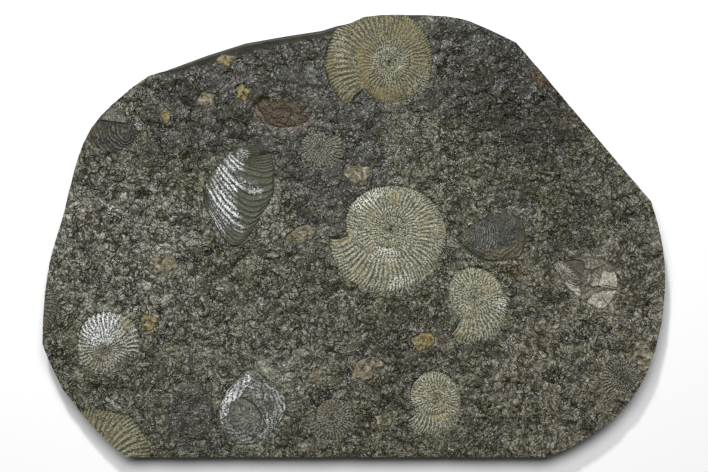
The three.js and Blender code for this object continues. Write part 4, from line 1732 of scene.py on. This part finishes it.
@dataclass(frozen=True)
class HashFinish:
    """Fragments of shell in the rock: mostly dark, some pale or brown, each with its own tone and painted
    lighter on top.
    """

    name: str = "shell_hash"  # name of the material
    dark: str = "38362a"  # colour of the dark fragments
    olive: str = "555240"  # colour that they wander to
    pale: str = "858276"  # colour of the palest fragments
    brown: str = "4c4533"  # colour of the brownest fragments
    cover: float = 0.2  # share of pale fragments

    def build(self, effects: SharedEffects) -> Material:
        """Builds the material.

        Args:
            effects: The shared effects.

        Returns:
            The material.
        """
        material, graph, place = new_material(self.name)
        tone = graph.layer("tone")
        colour = graph.wander(effects.mottle, place, 300.0, self.dark, self.olive)
        colour = graph.cover(colour, graph.remap(tone, 0.0, 0.2, 0.5, 0.0), self.brown)
        colour = graph.cover(colour, graph.remap(tone, 1 - self.cover, 1.1), self.pale)
        # painted light: each fragment lighter on its top and ridges, darker down its sides and in its furrows
        colour = graph.shade(colour, graph.remap(graph.layer("crest"), 0.3, 1.0, 0.7, 1.25))
        dull = graph.remap(graph.noise(place, 1.5, 2), 0.35, 0.65, 0.25, 0.5)
        grain = graph.effect(effects.scales, place, 700.0, Rings=0.02, Grit=0.4)["Height"]
        finish_surface(graph, colour, dull, 0.6, **graph.bump(grain, 0.4))
        return material


class Finishes:
    """The materials of the object by their slot."""

    def __init__(self) -> None:
        """Builds every material once."""
        effects = SharedEffects()
        self.made = {slot: finish.build(effects) for slot, finish in FINISHES.items()}
        self.hash = HashFinish().build(effects)

    def of(self, slot: Slot) -> Material:
        """The material of a slot."""
        return self.made[slot]


FINISHES = {
    Slot.SHALE: ShaleFinish(),
    Slot.TAN_COIL: FossilFinish("tan_coil", "353324", "8b8665", "a9ab95", "7b6e43"),
    Slot.PALE_COIL: FossilFinish("pale_coil", "444338", "b0af96", "dedecf", "93845c"),
    Slot.SILVER_COIL: FossilFinish("silver_coil", "414038", "b2b2a2", "eceeea", "84754f"),
    Slot.DARK_COIL: FossilFinish("dark_coil", "1c1a13", "706c5b", "aba896", "5e5137"),
    Slot.SILVER_SHELL: FossilFinish("silver_shell", "282921", "4b4c3f", "e6eae7", "56563f", speck=0.45),
    Slot.TAN_SHELL: FossilFinish("tan_shell", "403d31", "87826f", "cac4b6", "75694a", speck=0.25),
    Slot.DARK_SHELL: FossilFinish("dark_shell", "1e1e17", "424338", "9a9b90", "605331", speck=0.35),
    Slot.BROWN_SHELL: FossilFinish("brown_shell", "2b2317", "473a25", "71674f", "442f16", speck=0.4),
    Slot.OCHRE_SHELL: FossilFinish("ochre_shell", "453f2b", "989068", "b4ab84", "86713a", speck=0.4),
}


# The rock's own sizes

RIGHT_EDGE = (
    (105.1, -120.6), (118.2, -115.1), (137, -103.4), (152.6, -87.1), (164.4, -61.7), (169.7, -26.6),
    (167.2, 0.5), (161.8, 19),
)
LEFT_EDGE = (
    (88.5, 105.6), (62.5, 117.4), (50, 119.9), (25, 120.8), (5.4, 119.7), (-17.4, 113.4), (-59.7, 106.4),
    (-98.8, 92.9), (-111.9, 87.4), (-132, 71.7), (-143.4, 58.6), (-151, 41.3), (-158.6, 10.9),
    (-166.2, -15.2), (-169.4, -45), (-169.7, -59.2),
)
LOW_LEFT_EDGE = ((-169.7, -59.2), (-158.9, -82.9), (-138.2, -107.9), (-124, -120.6))

BEDDING = Bedding(
    swells=(Patch(-53.8, 81.7, 46, 16, 0.5, -4), Patch(-89, -100, 16, 24, 0.4), Patch(150, 8, 16, 11, 0.4),
            Patch(120, -55, 34, 28, 0.3), Patch(-20, -60, 38, 24, -0.4), Patch(60, 60, 44, 18, -0.3),
            Patch(151, -17, 8, 6, 0.8)),
    ledges=((153, 12.5, 20, 28, 0.6), (-30, 74, 170, 60, 0.5), (118, 40, 160, 50, 0.5),
            (150, -45, 215, 20, 0.8)),
    smooth=(Patch(-89, -100, 13, 20, 0.85), Patch(-5, 52, 48, 52, 0.4), Patch(-42.9, -73.8, 15, 13, 0.6),
            Patch(90, 12, 9, 7, 0.7), Patch(-66, 82, 17, 8, 0.45), Patch(96, -18, 7, 9, 0.6, 20),
            Patch(122, -46, 9, 6, 0.5, 30)),
    coarse=(Patch(-120, 12, 34, 44, 0.35), Patch(-100, -30, 40, 22, 0.3), Patch(140, -10, 24, 44, 0.3)),
    streaks=(Patch(92, 50, 46, 26, 0.8, -14), Patch(112, 18, 20, 12, 0.7, -20),
             Patch(-95, -100, 12, 20, 0.6, 80)),
    grooves=(Groove(((143.4, 9.8), (153, 12.5), (163.4, 17)), 2.2, 0.5),
             Groove(((2.5, 77), (6, 74), (10, 72.5)), 4, 0.7),
             Groove(((-41.5, 36), (-42, 27), (-47, 14), (-56, 2)), 1.6, -0.5)),
)
ZONES = {
    "stain": (
        Patch(121.6, 62.4, 14, 6, 0.25, -20), Patch(101.5, 87.4, 5, 4, 0.7), Patch(-86.9, 8.7, 5, 4, 0.3),
        Patch(-39, 66, 20, 9, 0.3, -20), Patch(-145, 9.8, 6, 6, 0.3), Patch(88, -19, 12, 4, 0.3, -15)),
    "cool": (
        Patch(-125, -5, 45, 45, 1), Patch(-75, -70, 50, 60, 0.45, 30), Patch(-45, 8, 9, 14, 0.7),
        Patch(-45.5, 20, 3, 15, 0.8, -25), Patch(86, 11, 20, 10, 0.5), Patch(125, 40, 24, 8, 0.4, -25),
        Patch(-20, -60, 40, 30, 0.3)),
    "warm": (
        Patch(150, -40, 30, 60, 1), Patch(120, -80, 60, 45, 0.9, 30), Patch(110, -15, 24, 16, 0.5)),
    "deep": (
        Patch(80, 85, 55, 40, 1, -30), Patch(-62, 78, 66, 34, 1, 15), Patch(25, -65, 30, 25, 0.5),
        Patch(-15, 62, 40, 62, 1), Patch(-89, -100, 14, 22, 0.8), Patch(88, 12, 12, 20, 0.7),
        Patch(10, 68, 8, 6, 1), Patch(142, -4, 34, 40, 0.3)),
}

# The fossils' own sizes

COILS = (
    Coil(
        "ammonite_top", Slot.TAN_COIL, pole=(19, 94.7), aperture=228, growth=1.95, rise=1.15,
        rim=((0, 32.3), (-0.07, 34.2), (-0.13, 34.8), (-0.22, 33.4), (-0.38, 28.8), (-0.51, 25.5),
             (-0.63, 23.9), (-0.88, 22.8), (-0.93, 22.3), (-0.99, 19.8), (-1.06, 18.7), (-1.38, 14.7),
             (-1.63, 12.2), (-1.88, 10.6)),
        bright=(Patch(19, 94.7, 11, 10, 0.8), Patch(-8, 104, 4, 12, 0.6, 10), Patch(38, 82, 12, 5, 0.5, 40)),
        stains=(Patch(5, 92, 12, 3, 0.8, 95), Patch(14, 76, 12, 4, 0.6, 10), Patch(30, 112, 12, 5, 0.4))),
    Coil(
        "ammonite_centre", Slot.PALE_COIL, pole=(19.8, 3.4), aperture=188, way=-1, ribs=60, rise=1.3,
        rim=((0, 33.7), (-0.1, 35.8), (-0.23, 33.7), (-0.35, 31.2), (-0.48, 30.4), (-0.6, 26.6),
             (-0.73, 24.4), (-0.88, 25.2), (-0.96, 24.4), (-1, 22.8), (-1.1, 17.9), (-1.23, 16.3),
             (-1.48, 15.5), (-1.73, 13), (-1.97, 12)),
        bright=(Patch(7, 22, 10, 7, 0.9, 40), Patch(27.7, -27, 9, 7, 0.7), Patch(17, -10, 8, 4, 0.7)),
        stains=(Patch(-5, 0, 5, 4, 0.6), Patch(22, 20, 4, 3, 0.6), Patch(8, -8, 4, 3, 0.5))),
    Coil(
        "ammonite_right", Slot.PALE_COIL, pole=(65.4, -33), aperture=238, way=-1, ribs=46, rise=1,
        rim=((0, 24.2), (-0.05, 25), (-0.11, 24.2), (-0.22, 22), (-0.26, 19.9), (-0.34, 17.4), (-0.47, 15.7),
             (-0.65, 16.6), (-0.76, 15.7), (-0.83, 14), (-1, 13.3), (-1.11, 11.9), (-1.34, 9.2), (-1.59, 9),
             (-1.83, 6.9)),
        columns=560, rows=12, bright=(Patch(80, -37, 3, 5, 0.8),)),
    Coil(
        "ammonite_bottom", Slot.PALE_COIL, pole=(44.7, -87.7), aperture=218, way=-1, ribs=44, rise=1.05,
        rim=((0, 20.4), (-0.07, 21.4), (-0.21, 17.8), (-0.37, 13.9), (-0.5, 13.3), (-0.74, 14.9),
             (-0.97, 13.8), (-1, 12.8), (-1.07, 10.6), (-1.15, 9.6), (-1.3, 8.4), (-1.5, 7.6), (-1.9, 7.1)),
        columns=560, rows=12, grooves=(Groove(((35.8, -98.3), (43.4, -97.7), (50.5, -96.1)), 1.8, 0.5),),
        stains=(Patch(43.4, -97.9, 8.5, 1.4, 1, -8),)),
    Coil(
        "ammonite_left", Slot.SILVER_COIL, pole=(-135.4, -61.1), aperture=345, way=-1, growth=1.8, ribs=42,
        rise=1.1,
        rim=((0, 18.5), (-0.06, 19.5), (-0.15, 21.2), (-0.21, 21.2), (-0.29, 20.1), (-0.41, 17.9),
             (-0.5, 15.2), (-0.62, 15.2), (-0.79, 12.9), (-0.93, 13), (-1, 12.2), (-1.25, 10.9), (-1.41, 9.8),
             (-1.6, 8.1), (-1.8, 7.1)),
        columns=560, rows=12, forked=0, relief=0.45, bright=(Patch(-138, -50, 12, 9, 1, 20),),
        stains=(Patch(-138, -66, 9, 6, 0.35),), worn=(Patch(-122, -73, 9, 7, 0.9, 30),),
        grooves=(Groove(((-148.8, -59.2), (-141.7, -55.4), (-134.1, -50)), 1.6, 0.45),)),
    Coil(
        "ammonite_corner", Slot.TAN_COIL, pole=(-146.1, -125.4), aperture=-30, way=-1, ribs=52, rise=0.95,
        turns=3,
        rim=((0, 35.5), (-0.11, 36.3), (-0.21, 36.8), (-0.26, 34), (-0.34, 31), (-0.42, 29), (-1, 18)),
        bright=(Patch(-126, -108, 14, 12, 0.3),), stains=(Patch(-132.5, -110.8, 4, 6, 0.8),)),
    Coil(
        "ammonite_left_edge", Slot.DARK_COIL, pole=(-178.6, -35.8), aperture=150, way=-1, growth=1.8, ribs=40,
        rise=0.6, turns=3, rim=((0, 21.7), (-0.3, 21.2), (-0.6, 17.4), (-1, 12.5)), columns=480, rows=12),
    Coil(
        "ammonite_dark", Slot.DARK_COIL, pole=(146.1, -76.5), aperture=235, growth=1.8, ribs=38, rise=0.9,
        rim=((0, 13.3), (-0.12, 11.9), (-0.34, 10.9), (-0.65, 8.7), (-0.9, 8.1), (-1, 7.6)), columns=420,
        rows=12, forked=0, relief=0.52, bright=(Patch(146.1, -76.5, 14, 14, 0.4),)),
)

MUSSEL = Mussel(
    "mussel_large", Slot.SILVER_SHELL,
    edge=((-50, 46.7), (-61.9, 48.3), (-71.7, 41.2), (-81.5, 27.1), (-80.9, 14.1), (-71.7, -1.1),
          (-65.7, -5.5), (-60.3, -2.2), (-50, 11.4), (-42.9, 24.9), (-44.5, 41.2)),
    growth=(((-64.1, 49.4), (-60.3, 48.9), (-55.4, 49.7), (-50, 47.8), (-46.5, 46.6), (-44.5, 45.6)),
            ((-65, 48.1), (-62.4, 45.4), (-58.9, 43), (-54.5, 43), (-48.9, 44.2), (-44.5, 45.4)),
            ((-68.2, 46.2), (-64.8, 42.6), (-60.8, 39.8), (-56.1, 37.4), (-50.5, 35.8), (-46.1, 36.2),
             (-42.9, 37.8)),
            ((-74.8, 37.4), (-71.2, 31), (-67.2, 26.2), (-62.4, 21.5), (-56.1, 18.3), (-49.3, 18.3),
             (-43.3, 22.7)),
            ((-81.6, 27), (-78.4, 21.5), (-74.8, 15.1), (-69.6, 8.7), (-64, 4.3), (-58.5, 3.1), (-52.1, 7.1)),
            ((-81.8, 26.6), (-81.2, 17.1), (-77.8, 9.9), (-73.2, 1.1), (-68, -6.4), (-62.4, -5.6),
             (-58.5, -2.8))),
    bright=(Patch(-71, 21, 25, 7.5, 0.65, 85), Patch(-60.3, 44.5, 4, 3.4, 0.8, -40),
            Patch(-64.1, 39.6, 6.5, 3.6, 1, -50), Patch(-61.4, 28.8, 4.5, 2.4, 0.8, -45),
            Patch(-69.5, 31.5, 11.5, 2.5, 1, -55), Patch(-53.8, 25, 4.5, 3.6, 0.6, -30),
            Patch(-68.4, 17.4, 11, 2.6, 0.9, -52), Patch(-77.1, 22.3, 8, 1.8, 0.7, -60),
            Patch(-77.1, 8.7, 9, 2, 0.85, -62), Patch(-70.6, 12.5, 9, 1.6, 0.5, -50),
            Patch(-63, 5.4, 3, 4.4, 0.6, 30)),
    grooves=(
        Groove(((-77.6, 10.7), (-74, 12.9), (-71.2, 15.1)), 1.2, -0.3),
        Groove(((-60.8, 40.2), (-61.2, 24.2), (-62, 8.7), (-62.8, 0.3)), 3, 0.3),
        Groove(((-50.5, 33), (-49.4, 26), (-50, 18), (-51, 12)), 1, -0.2)),
)

CLAMS = (
    Clam(
        "clam_bottom", Slot.SILVER_SHELL,
        edge=((-56.5, -72.2), (-67.9, -82.3), (-73.8, -97), (-67.9, -111), (-59.5, -113.8), (-48.9, -111),
              (-37.7, -98.5), (-36.4, -89.1), (-48.6, -76.6)),
        shards=(
            Shard((), (-64, -99), 2.2, 0.22, bright=0.3, tone=0.4),
            Shard(
                ((-57.6, -73.8), (-64.1, -78.2), (-70.6, -84.7), (-73.8, -93.4), (-72.8, -99.9),
                 (-68.4, -97.7), (-67.3, -91.2), (-61.9, -86.9), (-57.6, -82.5), (-55.4, -77.1)),
                (-50, -92), 2.1, 0.35, rise=0.3, bright=1, tone=0.55),
            Shard(
                ((-68, -96), (-66.5, -102), (-60, -105.5), (-53.5, -103), (-51.5, -97), (-54, -91),
                 (-60, -88.5), (-66, -90.5)),
                (-66, -93), 2.6, 0.14, rise=-0.15, bright=0.15, stain=0.6, tone=0.5),
            Shard(
                ((-50, -78.2), (-50.5, -85), (-47.8, -92), (-47.8, -102.1), (-44.5, -105.3), (-38.6, -99),
                 (-36.7, -90.1), (-40.2, -84.7)),
                (-84, -95), 2.9, 0.35, rise=0.1, bright=0.55, tone=0.45),
            Shard(
                ((-71.7, -102.1), (-66.2, -112), (-56.5, -114.5), (-50, -110.8), (-55.4, -108.6),
                 (-61.9, -105.3)),
                (-66, -90), 2.3, 0.25, bright=0.35, tone=0.4)),
        raised=(Patch(-52.1, -104.3, 3, 3, 0.5),),
        grooves=(
            Groove(
                ((-61.7, -87.9), (-58.9, -88.5), (-56.4, -89.8), (-53.9, -92), (-51.7, -94.8),
                 (-50.1, -96.9)),
                2, 0.7),
            Groove(((-44.5, -89.1), (-44.2, -93.5), (-43.3, -97.3), (-45.2, -100.1)), 1.3, -0.35),
            Groove(((-38.6, -86.5), (-38, -92.3), (-40.5, -99.9)), 1.3, -0.35))),
    Clam(
        "clam_right", Slot.TAN_SHELL,
        edge=((139.6, -14.3), (124.3, -11.7), (108.1, -15.2), (113.7, -26.1), (127.3, -37.3), (135.2, -40.2),
              (143.7, -27.9)),
        rise=0.7,
        shards=(
            Shard((), (122.8, -20.2), 2.3, 0.25, rise=-0.3, tone=0.4),
            Shard(
                ((110.5, -14.5), (108.5, -17.5), (113.5, -24), (119.5, -27.5), (123.5, -25.5), (119.5, -19.5),
                 (114, -15.5)),
                (131.5, -3.5), 1.3, 0.45, rise=0.25, bright=0.5),
            Shard(
                ((112, -23), (114.5, -31), (120, -34.5), (123.5, -31.5), (122, -27.5), (117, -26)),
                (121.5, -24), 2.6, 0.3, rise=0.3, bright=1, tone=0.65),
            Shard(
                ((126.5, -11.5), (125, -17), (129.5, -19), (133.5, -16.5), (138.8, -14.6), (133.5, -11)),
                (121, -17), 2.4, 0.2, rise=0.15, bright=0.15),
            Shard(
                ((127.5, -19.5), (126, -25), (129.5, -28), (133, -27), (134, -21)), (121, -24), 2.2, 0.5,
                rise=0.3, bright=0.8),
            Shard(
                ((134.5, -19), (132.5, -26.5), (135.5, -28.3), (143.7, -28.9), (143.6, -23.5),
                 (141.3, -19.5)),
                (122.5, -22), 3.2, 0.15, rise=0.55, bright=0.95, rays=150, tone=0.7),
            Shard(
                ((134.8, -29.3), (129.5, -32), (125.8, -36.5), (132, -39.8), (136.3, -39.7), (141.3, -34),
                 (143.2, -29.6)),
                (122.5, -22), 3.2, 0.15, rise=0.5, bright=0.9, rays=150, tone=0.65),
            Shard(
                ((118.8, -12.4), (114, -13.8), (117.5, -16.5), (123.5, -21.2), (125.2, -18), (124.4, -13.5)),
                (122, -30), 2, 0.1, rise=-1.2, tone=0)),
        stains=(Patch(138.5, -16.9, 3.5, 1.4, 0.6),),
        grooves=(
            Groove(((134.3, -26.7), (138.4, -27.3), (143.5, -28.6)), 0.9, 0.5),
            Groove(((134.6, -33.1), (136.4, -35.5), (138.4, -37.6)), 0.9, 0.5),
            Groove(((129, -19.9), (131.4, -22), (133.1, -23.1)), 1.2, 0.5),
            Groove(((122.6, -28.1), (126.7, -27.3), (130.2, -28.1)), 1.2, 0.5),
            Groove(((111.2, -25), (114.5, -32), (119.5, -35.6), (126, -38)), 1.3, 0.5))),
    Clam(
        "clam_middle", Slot.DARK_SHELL,
        edge=((78.6, 12.2), (66.8, 7.7), (55.9, -2.2), (71, -14.3), (84.5, -13.1), (90.7, -10.5),
              (93.3, -1.1), (90.4, 9.2)),
        rise=0.9,
        shards=(
            Shard((), (58.6, -0.5), 3.4, 0.1),
            Shard(
                ((60, 7.5), (58.5, -4), (66, -8.5), (73.5, -9.5), (79, -4), (77.5, 5), (72, 9.5), (66, 9)),
                (58.6, -0.5), 1.25, 0.8, bright=0.5),
            Shard(
                ((70.5, -8.7), (70.6, -12.5), (75, -14), (84, -13.5), (90.5, -10.5), (91.5, -6.5), (86, -5.5),
                 (78, -7)),
                (74, 8), 2, 0.4, rise=0.25, bright=0.15, stain=0.85)),
        stains=(Patch(60.5, 1, 2.2, 4, 0.7),),
        grooves=(
            Groove(((83.3, -13.3), (86.9, -12.9), (89.8, -10.6)), 1.3, -0.7),
            Groove(((57, -3.2), (63.3, -8.9), (71, -13.1), (77.5, -13.8)), 1.6, 0.8))),
    Clam(
        "clam_upper_left", Slot.DARK_SHELL,
        edge=((-129.3, 70), (-137.4, 65.7), (-145.5, 53.2), (-133.2, 44.6), (-122.8, 48.5), (-117.6, 54.4)),
        rise=0.8,
        shards=(
            Shard((), (-124.5, 59.5), 2.4, 1, bright=0.25, squeeze=1.25, tone=0.35),
            Shard(
                ((-137.5, 62.9), (-130.5, 62), (-123.3, 61.3), (-124.5, 66.5), (-129.5, 70.5), (-136, 67)),
                (-128, 55), 3.5, 0.12, rise=0.35, bright=0.45, stain=0.35)),
        grooves=(
            Groove(((-137.4, 62.6), (-133.2, 61.9), (-129.6, 61.6), (-123.5, 60.9)), 1.2, 0.6),
            Groove(((-142.5, 53.5), (-139.5, 48), (-134.5, 45.2), (-128.5, 45.4)), 1.4, 0.5))),
)

# Bits of shell: middle, width, height, turn in degrees and finish.
SHELL_BITS = (
    (-38.6, 66.2, 22.8, 15.2, 0, Slot.BROWN_SHELL), (-27.7, 1.1, 14.1, 8.7, 20, Slot.TAN_SHELL),
    (-104.3, -16.3, 13, 10.9, 0, Slot.TAN_SHELL), (6.5, -72.2, 15.2, 9.8, 25, Slot.TAN_SHELL),
    (37.5, -57, 9.8, 9.4, 0, Slot.OCHRE_SHELL), (2.2, 33.6, 11.9, 9.8, -15, Slot.TAN_SHELL),
    (-21.2, -77.1, 7, 8.7, 0, Slot.TAN_SHELL), (15.7, -99.9, 8.7, 7, 0, Slot.TAN_SHELL),
    (-79.8, 73.3, 7.6, 8.2, 0, Slot.TAN_SHELL), (-70, 95, 8.7, 5.4, 0, Slot.OCHRE_SHELL),
    (-102.1, 65.1, 5.4, 8.1, 0, Slot.OCHRE_SHELL), (101.5, 86.3, 6, 14.1, 12, Slot.BROWN_SHELL),
    (157.3, -66.2, 12, 11.2, 0, Slot.TAN_SHELL), (139.6, -92.9, 6, 6, 0, Slot.TAN_SHELL),
    (-111.3, -46.7, 7.6, 8.7, 20, Slot.OCHRE_SHELL), (-60.3, 77.6, 6.5, 7.6, 0, Slot.OCHRE_SHELL),
)

# Juvenile coils that belong to the rock: middle, radius, direction of the aperture and way of winding.
JUVENILES = (
    (123.3, -48.9, 9.4, 60, 1), (109.1, -72.8, 8, 200, -1), (98.3, -97.7, 7.4, 130, 1),
    (99.9, -115.1, 6.6, 300, 1), (127.1, -92.9, 5.2, 20, -1), (127.1, -104.3, 5.2, 250, 1),
    (72.2, -74.4, 4.4, 90, 1), (73.3, -92.9, 6.4, 10, -1), (136.3, 1.6, 5.4, 250, 1),
    (107, 18.5, 4.6, 120, -1), (-89.1, 28.8, 5.4, 40, 1), (-104.3, 10.3, 4.4, 200, 1),
    (-115.7, 22.8, 4.8, 310, -1), (-24.4, 14.1, 4, 70, 1),
)
GHOST_COILS = ((-19.1, 48.3, 13.6, 40, 1), (-12, -98, 14.5, 190, -1))

HASHES = (
    ShellHash("shell_hash_chips", Slot.SHALE, Fragment.CHIP, 900, (0.4, 1.2), 34, 0.1, 11),
    ShellHash("shell_hash_splinters", Slot.SHALE, Fragment.CRESCENT, 2300, (1, 2.6), 14, 0, 12),
    ShellHash("shell_hash_crescents", Slot.SHALE, Fragment.CRESCENT, 2300, (1.8, 5), 12, 0.03, 14),
    ShellHash("shell_hash_valves", Slot.SHALE, Fragment.VALVE, 500, (1.4, 4.2), 14, 0.08, 13),
)


# The studio


@dataclass(frozen=True)
class Studio:
    """A pale floor, soft light from the head of the plate, a small light for glints, and the camera above."""

    distance: float = 0.9077  # height of the camera over the bedding surface, in metres
    lens: float = 85  # its focal length in millimetres
    sensor: float = 36  # width of its sensor in millimetres

    def build(self) -> None:
        """Sets everything up."""
        self.set_floor()
        self.set_world()
        self.set_light("head_light", (-0.05, 0.4, 1.2), (0.85, 0.5), 13.8)
        self.set_light("glint_light", (-0.2, 0.9, 1.0), (0.12, 0.12), 9.5)
        self.set_camera()

    def set_floor(self) -> None:
        """A wide matt floor under the plate."""
        grid = bmesh.new()
        bmesh.ops.create_grid(grid, x_segments=4, y_segments=4, size=4)
        mesh = bpy.data.meshes.new("floor")
        grid.to_mesh(mesh)
        grid.free()
        floor = bpy.data.objects.new("floor", mesh)
        bpy.context.scene.collection.objects.link(floor)
        material, graph, place = new_material("white_paper")
        tone = graph.remap(graph.noise(place, 400, 2), 0.3, 0.7, 0.9, 0.93)
        finish_surface(graph, graph.add("ShaderNodeCombineColor", {0: tone, 1: tone, 2: tone}), 0.9, 0.1)
        mesh.materials.append(material)

    def set_world(self) -> None:
        """A plain grey surround."""
        world = bpy.data.worlds.new("surround")
        world.use_nodes = True
        graph = Graph(world.node_tree)
        surround = graph.add("ShaderNodeBackground", {"Color": (1, 1, 1, 1), "Strength": 0.06})
        graph.add("ShaderNodeOutputWorld", {"Surface": surround})
        bpy.context.scene.world = world
        bpy.context.scene.view_settings.view_transform = "Standard"

    def set_light(self, name: str, place: Spot, size: tuple[float, float], power: float) -> None:
        """A rectangular lamp that looks at the middle of the plate.

        Args:
            name: Name of the lamp.
            place: Where it hangs, in metres.
            size: Its width and its depth, in metres.
            power: Its power in watts.
        """
        lamp = bpy.data.lights.new(name, "AREA")
        lamp.shape = "RECTANGLE"
        lamp.size, lamp.size_y = size
        lamp.energy = power
        held = bpy.data.objects.new(name, lamp)
        held.location = place
        held.rotation_euler = (-Vector(place)).to_track_quat("-Z", "Y").to_euler()
        bpy.context.scene.collection.objects.link(held)

    def set_camera(self) -> None:
        """A camera that looks straight down on the plate."""
        camera = bpy.data.cameras.new("camera")
        camera.lens = self.lens
        camera.sensor_width = self.sensor
        camera.clip_end = 20
        held = bpy.data.objects.new("camera", camera)
        held.location = (0, 0, self.distance + BEDDING_LEVEL * MM)
        bpy.context.scene.collection.objects.link(held)
        bpy.context.scene.camera = held


def small_coil(
    name: str, facts: tuple, slot: Slot, rise: float, relief: float, bright: float, columns: int
) -> Coil:
    """A coil that belongs to the rock.

    Args:
        name: Its name.
        facts: Its middle, radius, direction of the aperture and way of winding.
        slot: Its finish.
        rise: Its height over the bedding.
        relief: Half the height from rib to furrow.
        bright: How bright its ribs are.
        columns: Cells along one turn.

    Returns:
        The coil.
    """
    x, y, radius, aperture, way = facts
    level = float(BEDDING.broad(np.array([x]), np.array([y]))[0])
    rim = ((0, radius), (-0.25, radius * 0.9), (-0.6, radius * 0.74), (-1, radius * 0.58))
    return Coil(
        name, slot, margin=2.5, level=level, pole=(x, y), aperture=aperture, way=way, growth=1.75, rim=rim,
        ribs=26 + int(radius), rise=rise, relief=relief, turns=4, columns=columns, rows=8, forked=0.0,
        bright=(Patch(x, y, radius * 1.1, radius * 1.1, bright),),
    )


def main() -> None:
    """Builds the plate and everything in it."""
    logging.basicConfig(level=logging.INFO, format="%(name)s %(message)s")
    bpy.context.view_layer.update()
    Studio().build()
    finishes = Finishes()
    bits = tuple(
        ShellBit(f"shell_bit_{number + 1:02d}", bit[5], number=number, x=bit[0], y=bit[1], wide=bit[2],
                 tall=bit[3], degrees=bit[4])
        for number, bit in enumerate(SHELL_BITS)
    )
    fossils = COILS + (MUSSEL,) + CLAMS + bits
    juveniles = tuple(
        small_coil(f"juvenile_coil_{number:02d}", facts, Slot.SHALE, 0.75, 0.28, 0.0, 160)
        for number, facts in enumerate(JUVENILES, 1)
    )
    ghosts = tuple(
        small_coil(f"ghost_coil_{number}", facts, Slot.DARK_COIL, 0.35, 0.2, 0.2, 360)
        for number, facts in enumerate(GHOST_COILS, 1)
    )
    plate = Plate("shale_plate", Slot.SHALE, BEDDING, RIGHT_EDGE, LEFT_EDGE, LOW_LEFT_EDGE, ZONES)
    face = plate.face()
    everything = fossils + juveniles + ghosts
    plate.build(finishes, everything)
    for fossil in fossils:
        fossil.build(finishes, face, (fossil.name,))
    for coil in juveniles + ghosts:
        coil.build(finishes, face)
    for strewn in HASHES:
        strewn.build(finishes, BEDDING, face, everything)


if __name__ == "__main__":
    main()
